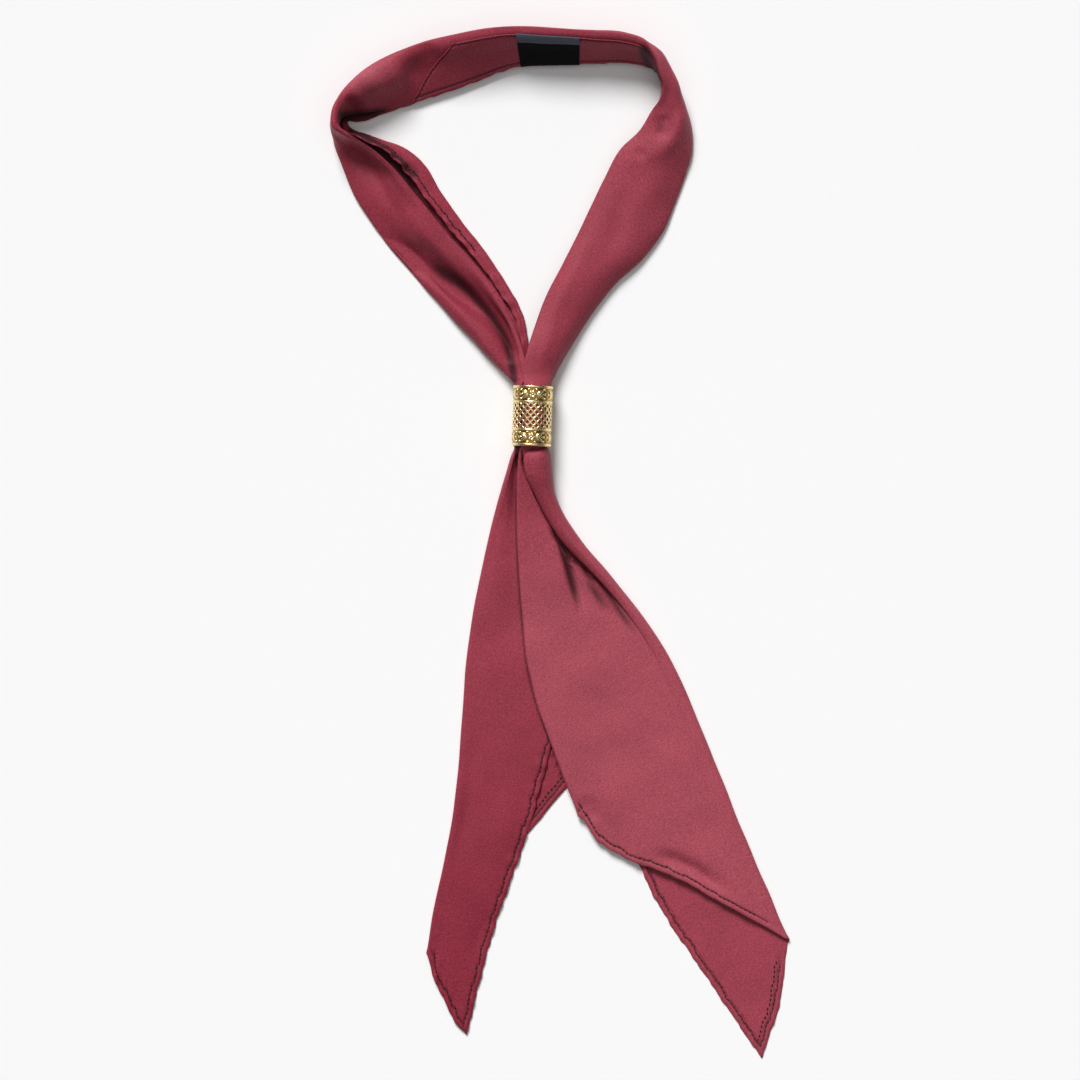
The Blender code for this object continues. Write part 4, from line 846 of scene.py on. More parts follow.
def crease_height(seen, crease):
    """Height of one crease at each point, as far as it lies near the crease's path."""
    line = path_points(crease["path"], CREASE_STEPS)
    reach = CREASE_REACH * max(crease["start"], crease["end"]) * max(crease.get("left", 1.0), 1.0)
    near = np.all((seen > line.min(axis=0) - reach) & (seen < line.max(axis=0) + reach), axis=-1)
    places = seen[near]
    away = np.full(len(places), np.inf)
    share = np.zeros(len(places))
    on_left = np.zeros(len(places), dtype=bool)
    for number, (start, run) in enumerate(zip(line[:-1], np.diff(line, axis=0))):
        on_run = np.clip((places - start) @ run / (run @ run), 0, 1)
        aside = places - start - on_run[:, None] * run
        distance = np.linalg.norm(aside, axis=1)
        closer = distance < away
        away[closer] = distance[closer]
        on_left[closer] = (run[0] * aside[:, 1] - run[1] * aside[:, 0] > 0)[closer]
        share[closer] = (number + on_run[closer]) / CREASE_STEPS
    wide = crease["start"] + (crease["end"] - crease["start"]) * share
    wide = np.where(on_left, wide * crease.get("left", 1.0), wide)
    fade = soft(share / crease["fade_in"]) * soft((1 - share) / crease["fade_out"])
    heights = np.zeros(seen.shape[:-1])
    heights[near] = -crease["depth"] * np.exp(-(away / wide) ** 2) * fade
    return heights


def beside_edge(cloth, edge):
    """Places across, row by row, at the hem's distances from one long edge of the cloth."""
    order = (0, 1) if edge == 0 else (-1, -2)
    rim, inner = cloth.knots[:, order[0]], cloth.knots[:, order[1]]
    way = inner - rim
    span = np.linalg.norm(way, axis=1)
    run = np.gradient(rim, axis=0)
    run /= np.linalg.norm(run, axis=1, keepdims=True)
    slant = np.linalg.norm(np.cross(way / span[:, None], run), axis=1)
    room = slant * span
    fit = np.minimum(1.0, HEM_ROOM * room / HEM_PLACES[-1])
    shares = np.outer(fit / room, HEM_PLACES)
    last = cloth.knots.shape[1] - 1
    return shares if edge == 0 else (last - shares)[:, ::-1]


def places_across(cloth, steps, hems):
    """Places across for every row: steps from each knot to the next, finer beside hemmed edges."""
    rows, last = cloth.knots.shape[0], len(steps)
    parts = []
    for knot, count in enumerate(steps):
        start = np.full(rows, float(knot))
        end = start + 1
        if knot == 0 and hems[0]:
            parts.append(beside_edge(cloth, 0)[:, :-1])
            start = beside_edge(cloth, 0)[:, -1]
        if knot == last - 1 and hems[1]:
            end = beside_edge(cloth, -1)[:, 0]
        shares = np.arange(count) / count
        parts.append(start[:, None] + np.outer(end - start, shares))
    parts.append(beside_edge(cloth, -1) if hems[1] else np.full((rows, 1), float(last)))
    return np.concatenate(parts, axis=1)


def rows_along(cloth, across, spacing, end_hem):
    """Distance along the cloth of each point of a net, with finer rows beside a hemmed end."""
    total = cloth.lengths[-1]
    near = np.zeros((1, across.shape[1]))
    if end_hem:
        lines = cloth.lines(across)
        before = np.stack([flowing(cloth.lengths, lines[:, number], [total - END_PROBE])[0]
                           for number in range(lines.shape[1])])
        end_way = np.gradient(lines[-1], axis=0)
        end_way /= np.maximum(np.linalg.norm(end_way, axis=1, keepdims=True), TINY)
        rate = np.linalg.norm(np.cross(lines[-1] - before, end_way), axis=1) / END_PROBE
        near = np.outer(HEM_PLACES[::-1], 1 / np.maximum(rate, LEAST_SLANT))
    count = round((total - near[0].mean()) / spacing)
    even = np.outer(np.linspace(0, 1, count + 1), total - near[0])
    return np.concatenate((even, total - near[1:])) if end_hem else even


def edge_distance(points, edge):
    """Distance of each point of a net from its first or last column, square to that edge."""
    if edge == 0:
        return edge_distance(points[:, ::-1], -1)[:, ::-1]
    steps = np.linalg.norm(np.diff(points, axis=1), axis=2)
    away = np.cumsum(steps[:, ::-1], axis=1)[:, ::-1]
    away = np.concatenate((away, np.zeros((len(points), 1))), axis=1)
    run = np.gradient(points[:, -1], axis=0)
    way = points[:, -1] - points[:, -3]
    slant = np.linalg.norm(np.cross(unit_rows(run), unit_rows(way)), axis=1)
    return away * slant[:, None]


def unit_rows(vectors):
    """Vectors of length 1 that point the same ways, or zero where there is no way."""
    return vectors / np.maximum(np.linalg.norm(vectors, axis=-1, keepdims=True), TINY)


def hem_swell(away):
    """How far a hem swells between its edge and its stitches."""
    return HEM_PUFF * np.sin(np.pi * np.clip(away / HEM_STITCH, 0, 1))


def hem_height(away, run, pitch):
    """How a hem stands out: swollen at its edge and drawn in at its stitches."""
    pull = SEAM_DEPTH * drawn_in(away, run)
    return hem_swell(away) - pull * (SEAM_EVEN + (1 - SEAM_EVEN) * np.cos(2 * np.pi * run / pitch))


def waves_along(run, waves):
    """Sum of waves along a run. A wave is its length, size and shift."""
    return sum(size * np.sin(2 * np.pi * run / length + shift) for length, size, shift in waves)


def stitch_sway(run):
    """How far a hand-guided seam strays from its distance, along its run."""
    return waves_along(run, SWAY_WAVES)


def drawn_in(away, run):
    """How strongly the seam of a hem draws in the cloth, and how dark the cloth is painted there, 0 to 1."""
    return np.exp(-((away - HEM_STITCH - stitch_sway(run)) / SEAM_WIDTH) ** 2)


def hem_pucker(away, run):
    """The uneven waves that the stitches draw into a hem."""
    uneven = PUCKER_CALM + (1 - PUCKER_CALM) * np.sin(2 * np.pi * run / PUCKER_SPELL) ** 2
    return (waves_along(run, PUCKER_WAVES) * uneven)[:, None] * np.exp(-away / PUCKER_REACH)


def transposed(net):
    """A net with its rows and columns exchanged."""
    return np.swapaxes(net, 0, 1)


class Hem:
    """One hemmed edge of a net of points, seen as if it were the net's last column.

    flatter is how thick the end's hem is at each column, as a share, because it thins out where
    it crosses the strip's folds.
    """

    def __init__(self, points, inner_side, edge, flatter=None):
        turn = {"first": lambda net: net[:, ::-1], "last": lambda net: net, "end": transposed}[edge]
        self.points, self.inner_side = turn(points), turn(inner_side)
        self.away = edge_distance(self.points, -1)
        self.run = run_of(self.points[:, -1])
        self.turn_back = turn
        self.thin = np.ones(len(self.points)) if flatter is None or edge != "end" else flatter

    def uneven_edge(self):
        """How far each point strays past the even edge, because hems are never quite straight."""
        beyond = unit_rows(self.points[:, -1] - self.points[:, -3])
        strays = (waves_along(self.run, EDGE_WAVES) * self.thin)[:, None] * np.exp(-self.away / EDGE_REACH)
        return self.turn_back(beyond[:, None] * strays[..., None])

    def read(self, net, distances):
        """A net's values at distances from the edge, one list of distances for every row."""
        result = np.empty(distances.shape + (3,))
        for row, wanted in enumerate(distances):
            for axis in range(3):
                result[row, :, axis] = np.interp(wanted, self.away[row, ::-1], net[row, ::-1, axis])
        return result

    def folded_back(self, room):
        """The net of the hem's folded-back ply. room is how wide it may be at each row."""
        widths = np.clip(room, LEAST_HEM, HEM_WIDTH)
        distances = np.outer(widths, np.linspace(0, 1, HEM_STEPS + 1))
        base, inwards = self.read(self.points, distances), self.read(self.inner_side, distances)
        raised = (HEM_RISE + hem_swell(distances)) * self.thin[:, None]
        ply = base + inwards * raised[..., None]
        ply[..., 2] = np.maximum(ply[..., 2], REST)
        beyond = unit_rows(self.points[:, -1] - self.points[:, -3])
        rim = self.points[:, -1]
        half = HEM_RISE / 2 * self.thin[:, None]
        middle = rim + (inwards[:, 0] + beyond) * half
        # painted shade along the stitches, and a painted shadow line along the hem's free edge
        painted_shade = drawn_in(distances, self.run[:, None])
        painted_shade[:, -1] = FREE_EDGE_SHADOW
        painted_shade *= self.thin[:, None] ** 2
        painted_shade = np.concatenate((np.zeros((len(painted_shade), 2)), painted_shade), axis=1)
        return np.concatenate((rim[:, None], middle[:, None], ply), axis=1), painted_shade

    def plain_runs(self):
        """First and last rows of each stretch of the hem between the strip's folds."""
        plain = np.concatenate(([False], self.thin > PLAIN_HEM, [False]))
        changes = np.flatnonzero(plain[1:] != plain[:-1])
        runs = zip(changes[::2], changes[1::2])
        return [np.searchsorted(self.run, (self.run[first] + SEAM_TRIM, self.run[last - 1] - SEAM_TRIM))
                for first, last in runs if self.run[last - 1] - self.run[first] > LEAST_SEAM]

    def seam(self, side, first, last, stitch=HEM_STITCH):
        """Line of the stitches on one side, 1 the outer and -1 the folded-back one."""
        distances = stitch + stitch_sway(self.run)[:, None]
        line = self.read(self.points, distances)[:, 0]
        out = -unit_rows(self.read(self.inner_side, distances)[:, 0])
        behind = HEM_RISE if stitch < HEM_WIDTH else SECOND_RAISED
        raised = WALL / 2 if side > 0 else -(behind + WALL / 2)
        line = line + out * raised
        line[:, 2] = np.maximum(line[:, 2], LOWEST_STITCH)
        return line[first:last], (out * side)[first:last]


def even_painted_sheen(points):
    """The same, even painted sheen on the whole cloth."""
    return np.full(points.shape[:2], 0.5)


def loop_painted_sheen(points):
    """Painted sheen: the right front is painted lighter than the left one, and the left turn lightest."""
    light = LOOP_LIGHT
    from_turn = (points[..., :2] - light["turn_place"]) / light["turn_size"]
    turn = np.exp(-np.sum(from_turn ** 2, axis=-1))
    right = np.tanh((points[..., 0] - light["middle"]) / light["spread"])
    return light["even"] + light["right"] * right + light["turn"] * turn


def left_tail_painted_sheen(points):
    """Painted sheen that fades towards the left tail's end, as if the satin turned away from the light."""
    light = LEFT_TAIL_LIGHT
    return light["even"] + light["end"] * soft((light["from"] - points[..., 1]) / light["over"])


def right_tail_painted_sheen(points):
    """Painted sheen: the right tail's upper ply is painted lightest, more so away from the ring."""
    light = RIGHT_TAIL_LIGHT
    upper = soft((points[..., 2] - light["above"]) / light["rise"])
    return light["even"] + light["upper"] * soft((light["from"] - points[..., 1]) / light["over"]) * upper


def cloth_piece(name, nets, finish, context, seams=None, lustre=even_painted_sheen, wall=WALL):
    """One cloth shell through nets of points that share their edges.

    seams are the nets' values of painted shade, from 0 to 1, where stitches press the cloth or a fold is
    deep.
    """
    bm = bmesh.new()
    # attributes of painted light: painted shade along the seams and in deep folds, and painted sheen
    painted_shade = bm.verts.layers.float.new("seam")
    bright = bm.verts.layers.float.new("lustre")
    map_places = []
    for number, points in enumerate(nets):
        rows, columns = points.shape[:2]
        places, shine = strip_map(points), lustre(points)
        made = bmesh.ops.create_grid(bm, x_segments=columns - 1, y_segments=rows - 1, size=1.0)
        for vert in made["verts"]:
            column = round((vert.co.x + 1) / 2 * (columns - 1))
            row = round((vert.co.y + 1) / 2 * (rows - 1))
            vert.co = Vector(points[row, column]) * MM
            vert[painted_shade] = float(seams[number][row, column]) if seams else 0.0
            vert[bright] = float(shine[row, column])
            map_places.append(places[row, column])
    bm.verts.index_update()
    layer = bm.loops.layers.uv.new("cloth")
    for face in bm.faces:
        for loop in face.loops:
            loop[layer].uv = map_places[loop.vert.index]
    bmesh.ops.remove_doubles(bm, verts=bm.verts, dist=MERGE * MM)
    bmesh.ops.recalc_face_normals(bm, faces=bm.faces)
    piece = place_piece(name, bm, finish, context)
    thicken(piece, wall, 0.0)
    return piece


def thicken(piece, wall, offset):
    """Give a surface its wall. offset is 0 for half of it on each side, -1 for all inside."""
    shell = piece.modifiers.new("Thickness", "SOLIDIFY")
    shell.thickness, shell.offset = wall * MM, offset


def round_edges(piece, width, segments):
    """Round the sharp edges of a ring part."""
    bevel = piece.modifiers.new("Rounding", "BEVEL")
    bevel.width, bevel.segments, bevel.limit_method = width * MM, segments, "ANGLE"


def place_piece(name, bm, finish, context):
    """Make a bmesh an object of the scene, in the object's own frame."""
    mesh = bpy.data.meshes.new(name)
    bm.to_mesh(mesh)
    bm.free()
    mesh.transform(Matrix.Translation((-ORIGIN[0] * MM, -ORIGIN[1] * MM, 0.0)))
    mesh.materials.append(finish)
    mesh.shade_smooth()
    piece = bpy.data.objects.new(name, mesh)
    context.scene.collection.objects.link(piece)
    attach(piece, "root")
    return piece


def stitches(name, seams, settings, finish, context):
    """All the stitches of some seams as one mesh. A seam is its line and its outward ways."""
    pitch, length, thread = settings.stitch_pitch / MM, settings.stitch_length / MM, settings.thread / MM
    bm = bmesh.new()
    for line, out in seams:
        run = run_of(line)
        for middle in np.arange(pitch / 2, run[-1] - pitch / 2, pitch):
            start, centre, end = (read_line(run, line, middle + shift) for shift in (-0.5, 0.0, 0.5))
            along = Vector(unit(end - start))
            up = Vector(unit(read_line(run, out, middle)))
            across = along.cross(up).normalized()
            up = across.cross(along)
            turn = Matrix((across, along, up)).transposed().to_4x4()
            size = Matrix.Diagonal((thread / 2, length / 2, thread / 2, 1.0))
            place = Matrix.Translation(Vector(centre)) @ turn @ size
            bmesh.ops.create_uvsphere(bm, u_segments=6, v_segments=5, radius=1.0,
                                      matrix=Matrix.Scale(MM, 4) @ place)
    return place_piece(name, bm, finish, context)


def read_line(run, line, wanted):
    """The point of a line at a distance along it."""
    return np.array([np.interp(wanted, run, line[:, axis]) for axis in range(3)])


def strip_map(points):
    """Places on the flat cloth, in metres: how far each point is across and along the strip."""
    way = unit_rows(np.gradient(points, axis=0))
    steps = np.diff(points, axis=1)
    middle = unit_rows(way[:, 1:] + way[:, :-1])
    across = np.linalg.norm(np.cross(steps, middle), axis=2)
    along = np.sum(steps * middle, axis=2)
    start = np.zeros((len(points), 1))
    first = run_of(points[:, 0])[:, None]
    wide = np.concatenate((start, np.cumsum(across, axis=1)), axis=1)
    far = np.concatenate((first, first + np.cumsum(along, axis=1)), axis=1)
    return np.stack((wide, far), axis=2) * MM


def hemmed(cloth, across, points, edges, pitch):
    """A net with its hems shaped, its hems by the name of their edge, and the painted shade along its seams.
    """
    inner = cloth.inner_side(points)
    for edge in edges:
        hem = Hem(points, inner, edge)
        points = points - inner * hem.turn_back(hem_pucker(hem.away, hem.run))[..., None]
    middle = np.mean(np.atleast_2d(across), axis=0)
    thinned = sum(between(first, last, middle, FOLD_EDGE) for first, last in cloth.folds)
    flatter = 1 - THIN_HEM * thinned
    for edge in edges:
        points = points + Hem(points, inner, edge, flatter).uneven_edge()
    points = cloth.laid(points, middle)
    hems = {edge: Hem(points, inner, edge, flatter) for edge in edges}
    away = np.stack([hem.turn_back(hem.away) for hem in hems.values()])
    run = np.stack([hem.turn_back(np.broadcast_to(hem.run[:, None], hem.away.shape))
                    for hem in hems.values()])
    nearest = np.argmin(away, axis=0)[None]
    away = np.take_along_axis(away, nearest, axis=0)[0]
    run = np.take_along_axis(run, nearest, axis=0)[0]
    shaped = points - inner * (hem_height(away, run, pitch) * flatter)[..., None]
    return cloth.laid(shaped, middle), hems, drawn_in(away, run) * flatter ** 2


def loop_cloth():
    """The cloth of the whole loop."""
    return Cloth(loop_knots(), LOOP_CREASES, LOOP_PLIES, LOOP_INSIDE, "front")


def make_strip(context):
    """The loop of the strip, from inside the ring round the neck and back into the ring."""
    settings = context.scene.scarf_tie_cloth
    spacing, pitch = settings.spacing / MM, settings.stitch_pitch / MM
    cloth = loop_cloth()
    across = places_across(cloth, LOOP_STEPS, (True, False))
    along = rows_along(cloth, across, spacing * LOOP_SPACING, False)
    points = cloth.net(across, along)
    shaped, hems, painted_shade = hemmed(cloth, across, points, ("first",), pitch)
    first, last = np.searchsorted(along[:, 0], cloth.length_at(FLAP_ROWS))
    painted_shade[:first] = painted_shade[last:] = 0.0
    # painted shade deep in the folds, added to the painted shade of the seams
    painted_shade = np.maximum(painted_shade, cloth.shade(points, np.mean(across, axis=0), LOOP_SHADES))
    flap, flap_painted_shade = hems["first"].folded_back(np.full(len(points), HEM_WIDTH))
    piece = cloth_piece("crepe_loop", [shaped, flap[first:last]], crepe(settings), context,
                        [painted_shade, flap_painted_shade[first:last]], loop_painted_sheen)
    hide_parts("left_leg", "neckband", "right_leg")
    seams = [hems["first"].seam(side, first, last) for side in (1, -1)]
    thread = stitches("stitches_loop", seams, settings, thread_finish(settings), context)


def make_tail(context, name, cloth, steps, edges, shades, lustre):
    """One tail of the strip, with its hems, its stitches and its hemmed end."""
    settings = context.scene.scarf_tie_cloth
    spacing, pitch = settings.spacing / MM, settings.stitch_pitch / MM
    across = places_across(cloth, steps, ("first" in edges, "last" in edges))
    along = rows_along(cloth, across, spacing, True)
    points = cloth.net(across, along)
    shaped, hems, painted_shade = hemmed(cloth, across, points, edges, pitch)
    # painted shade deep in the folds, added to the painted shade of the seams
    painted_shade = np.maximum(painted_shade, cloth.shade(points, np.mean(across, axis=0), shades))
    end = hems["end"]
    nets, painted_shades, seams = [shaped], [painted_shade], []
    first_row = np.searchsorted(along[:, 0], cloth.length_at(TAIL_HEMS_FROM))
    for edge, column in (("first", 0), ("last", -1)):
        if edge in edges:
            ply, ply_painted_shade = hems[edge].folded_back(end.away[column])
            nets.append(ply[first_row:])
            painted_shades.append(ply_painted_shade[first_row:])
            seams += [hems[edge].seam(side, first_row, None) for side in (1, -1)]
    room = np.full(shaped.shape[1], HEM_WIDTH)
    for edge in edges[:-1]:
        room = np.minimum(room, hems[edge].turn_back(hems[edge].away)[-1])
    ply, ply_painted_shade = end.folded_back(room)
    nets.append(ply)
    painted_shades.append(ply_painted_shade)
    for number, (first, last) in enumerate(end.plain_runs()):
        seams += [end.seam(side, first, last) for side in (1, -1)]
        if number == 0:
            seams.append(end.seam(-1, first, last, SECOND_STITCH))
    piece = cloth_piece("crepe_" + name, nets, crepe(settings), context, painted_shades, lustre)
    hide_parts(name)
    thread = stitches("stitches_" + name, seams, settings, thread_finish(settings), context)


def patch_net(cloth, across, starts, ends, rows):
    """A net on a cloth whose end rows may run slantwise."""
    shares = np.linspace(0, 1, len(across))
    first = cloth.length_at(starts[0] + (starts[1] - starts[0]) * shares)
    last = cloth.length_at(ends[0] + (ends[1] - ends[0]) * shares)
    along = first + np.outer(np.linspace(0, 1, rows + 1), last - first)
    return cloth.net(across, along)


def facing_seam(net, out, from_seam):
    """Line of a seam of the facing, through the point of each row that lies nearest to it."""
    rows, nearest = np.arange(len(net)), np.argmin(np.abs(from_seam), axis=1)
    ways = out[rows, nearest]
    return net[rows, nearest] + ways * WALL / 2, ways


def make_facing(context):
    """The facing of the neckband, stitched along its slanted end, its top and its lower edge."""
    settings = context.scene.scarf_tie_cloth
    cloth = loop_cloth()
    across = np.linspace(FACING_ACROSS[0], FACING_ACROSS[1], FACING_COLUMNS)
    points = patch_net(cloth, across, FACING_LEFT, FACING_RIGHT, FACING_STEPS)
    out = -cloth.inner_side(points)
    slant = transposed(edge_distance(transposed(points), 0)) - FACING_SLANT_STITCH
    top = edge_distance(points, 0) - FACING_TOP_STITCH
    low = edge_distance(points, -1) - FACING_LOW_STITCH
    height = np.full(points.shape[:2], FACING_RAISED)
    painted_shade = np.zeros(points.shape[:2])
    # each seam draws the facing in, and the cloth along it gets painted shade
    for from_seam in (slant, top, low):
        near = np.exp(-(from_seam / SEAM_WIDTH) ** 2)
        height -= FACING_PULL * near
        painted_shade = np.maximum(painted_shade, near)
    shaped = points + out * height[..., None]
    # painted shade deep in the folds, added to the painted shade of the seams
    painted_shade = np.maximum(painted_shade, cloth.shade(points, across, LOOP_SHADES))
    piece = cloth_piece("crepe_facing", [shaped], crepe(settings), context, [painted_shade])
    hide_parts("neck_facing")
    seams = [facing_seam(transposed(shaped), transposed(out), transposed(slant)),
             facing_seam(shaped, out, top), facing_seam(shaped, out, low)]
    thread = stitches("stitches_facing", seams, settings, thread_finish(settings), context)


def make_label(context):
    """The bare woven label and its folded top edge."""
    settings = context.scene.scarf_tie_cloth
    cloth = loop_cloth()
    for name, limits, raised, wall, finish in (
            ("woven_label", LABEL_ACROSS, LABEL_RAISED, WALL, woven(settings)),
            ("label_fold", LABEL_FOLD_ACROSS, LABEL_FOLD_RAISED, LABEL_FOLD_WALL, woven_fold(settings))):
        across = np.linspace(limits[0], limits[1], LABEL_COLUMNS)
        points = patch_net(cloth, across, LABEL_LEFT, LABEL_RIGHT, LABEL_STEPS)
        points = points - cloth.inner_side(points) * raised
        piece = cloth_piece(name, [points], finish, context, wall=wall)
        if name == "woven_label":
            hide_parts("neck_label")


def place_ring_part(name, bm, finish, context):
    """Turn a part made round the Z axis, in millimetres, to lie along the ring's axis."""
    place = (Matrix.Translation(Vector(RING_CENTRE)) @ Matrix.Rotation(math.radians(RING_TURN), 4, "Z")
             @ Matrix.Rotation(math.radians(-90), 4, "X"))
    bmesh.ops.transform(bm, matrix=Matrix.Scale(MM, 4) @ place, verts=bm.verts)
    piece = place_piece(name, bm, finish, context)
    return piece


def relief_height(round_ring, along):
    """Height of the leaf pattern at a place on the flat band, from 0 on its ground to 1.

    round_ring is the distance round the ring and along the distance from the band's middle.
    """
    cell = 2 * math.pi * RING_RADIUS / RELIEF_REPEATS
    x = (round_ring / cell + 0.5) % 1.0 * cell - cell / 2
    height = np.zeros_like(x)
    radius, turn = np.hypot(x, along), np.arctan2(along, x)
    petals = PETAL_FOOT + PETAL_LENGTH * np.abs(np.cos(PETALS / 2 * turn))
    dished = PETAL_LOW + (1 - PETAL_LOW) * radius / PETAL_REACH
    height = np.maximum(height, soft((petals - radius) / PETAL_SLOPE) * dished)
    height = np.where(radius < SUNK_RING, SUNK_HEIGHT, height)
    height = np.maximum(height, soft((BUTTON - radius) / BUTTON_SLOPE))
    for middle_x, middle_y, angle, long, wide in LEAVES:
        for side in (1, -1):
            lean = math.radians(angle) * side
            across, up = x - middle_x * side, along - middle_y
            far = across * math.cos(lean) + up * math.sin(lean)
            off = -across * math.sin(lean) + up * math.cos(lean)
            edge = wide * np.clip(1 - (far / long) ** 2, 0, 1)
            vein = VEIN_DEPTH * np.exp(-(off / VEIN_WIDTH) ** 2)
            leaf = soft((edge - np.abs(off)) / LEAF_SLOPE) * (1 - vein)
            height = np.maximum(height, leaf)
    for dot_x, dot_y, size in DOTS:
        for side in (1, -1):
            away = np.hypot(x - dot_x * side, along - dot_y)
            height = np.maximum(height, soft((size - away) / DOT_SLOPE))
    return height


def make_bands(context, settings, finish):
    """Two bands of leaves in relief, one on each side of the openwork."""
    bm = bmesh.new()
    depth = bm.verts.layers.float.new("height")
    relief = settings.relief / MM
    low, high = BAND_SPAN
    for side in (1, -1):
        made = bmesh.ops.create_grid(bm, x_segments=BAND_STEPS[0], y_segments=BAND_STEPS[1], size=1.0)
        verts = made["verts"]
        flat = np.array([vert.co[:2] for vert in verts])
        angle = (flat[:, 0] + 1) * math.pi
        along = low + (flat[:, 1] + 1) / 2 * (high - low)
        height = relief_height(angle * RING_RADIUS, along - (low + high) / 2)
        for vert, turn, far, rise in zip(verts, angle, along, height):
            radius = BAND_RADIUS + relief * float(rise)
            vert[depth] = float(rise)
            vert.co = Vector((radius * math.cos(turn), radius * math.sin(turn), far * side))
    bmesh.ops.remove_doubles(bm, verts=bm.verts, dist=RING_MERGE)
    bmesh.ops.recalc_face_normals(bm, faces=bm.faces)
    piece = place_ring_part("ring_bands", bm, finish, context)
    thicken(piece, BAND_WALL, -1.0)
    return piece


def make_rims(context, finish):
    """Four plain beads: at both ends of the ring and at both sides of the openwork."""
    bm = bmesh.new()
    for low, high in (END_BEAD, INNER_BEAD):
        for side in (1, -1):
            outline = [(low, BEAD_INNER), (high, BEAD_INNER), (high, RING_RADIUS), (low, RING_RADIUS)]
            verts = [bm.verts.new((radius, 0.0, along * side)) for along, radius in outline]
            edges = [bm.edges.new((verts[i], verts[(i + 1) % 4])) for i in range(4)]
            bmesh.ops.spin(bm, geom=verts + edges, cent=(0, 0, 0), axis=(0, 0, 1), dvec=(0, 0, 0),
                           angle=2 * math.pi, steps=RIM_STEPS, use_merge=True, use_duplicate=False)
    bmesh.ops.recalc_face_normals(bm, faces=bm.faces)
    piece = place_ring_part("ring_rims", bm, finish, context)
    round_edges(piece, RIM_ROUND, 3)
    return piece


def make_lattice(context, settings, finish):
    """The openwork band: bars round rows of diamond-shaped openings."""
    bm = bmesh.new()
    columns = settings.columns
    bmesh.ops.create_grid(bm, x_segments=columns, y_segments=LATTICE_ROWS, size=1.0)
    for vert in bm.verts:
        turn = (vert.co.x + 1) * math.pi
        vert.co = Vector((LATTICE_RADIUS * math.cos(turn), LATTICE_RADIUS * math.sin(turn),
                          vert.co.y * LATTICE_SPAN))
    bmesh.ops.remove_doubles(bm, verts=bm.verts, dist=RING_MERGE)
    square = [edge for edge in bm.edges if not edge.is_boundary]
    bmesh.ops.poke(bm, faces=bm.faces)
    bmesh.ops.dissolve_edges(bm, edges=square, use_verts=False, use_face_split=False)
    inset = bmesh.ops.inset_individual(bm, faces=bm.faces[:], thickness=settings.bar / MM / 2,
                                       use_even_offset=True)
    bars = set(inset["faces"])
    bmesh.ops.delete(bm, geom=[face for face in bm.faces if face not in bars], context="FACES")
    bmesh.ops.subdivide_edges(bm, edges=bm.edges[:], cuts=1, use_grid_fill=True)
    for vert in bm.verts:
        radius = math.hypot(vert.co.x, vert.co.y)
        vert.co.xy *= LATTICE_RADIUS / radius
    bmesh.ops.recalc_face_normals(bm, faces=bm.faces)
    piece = place_ring_part("ring_lattice", bm, finish, context)
    thicken(piece, LATTICE_WALL, -1.0)
    round_edges(piece, BAR_ROUND, 2)
    return piece


def nodes_of(name):
    """A new material, its shader, and functions that add a node, mix two colours and link."""
    made = bpy.data.materials.new(name)
    made.use_nodes = True
    tree = made.node_tree
    shader = tree.nodes["Principled BSDF"]

    def add(kind, values=None, links=None):
        node = tree.nodes.new(kind)
        for key, value in (values or {}).items():
            if key in node.inputs:
                node.inputs[key].default_value = value
            else:
                setattr(node, key, value)
        for key, source in (links or {}).items():
            tree.links.new(source, node.inputs[key])
        return node

    def mix(factor, first, second):
        node = add("ShaderNodeMix", {"data_type": "RGBA"}, {"Factor": factor})
        node.inputs[MIX_FIRST].default_value = first
        node.inputs[MIX_SECOND].default_value = second
        return node.outputs[MIX_RESULT]

    def link(source, socket):
        tree.links.new(source, shader.inputs[socket])

    return made, shader, add, mix, link


def tinted(colour, factor, more=0.0):
    """A colour with its channels multiplied, and raised where more is given."""
    return [channel * factor + more for channel in colour[:3]] + [1.0]


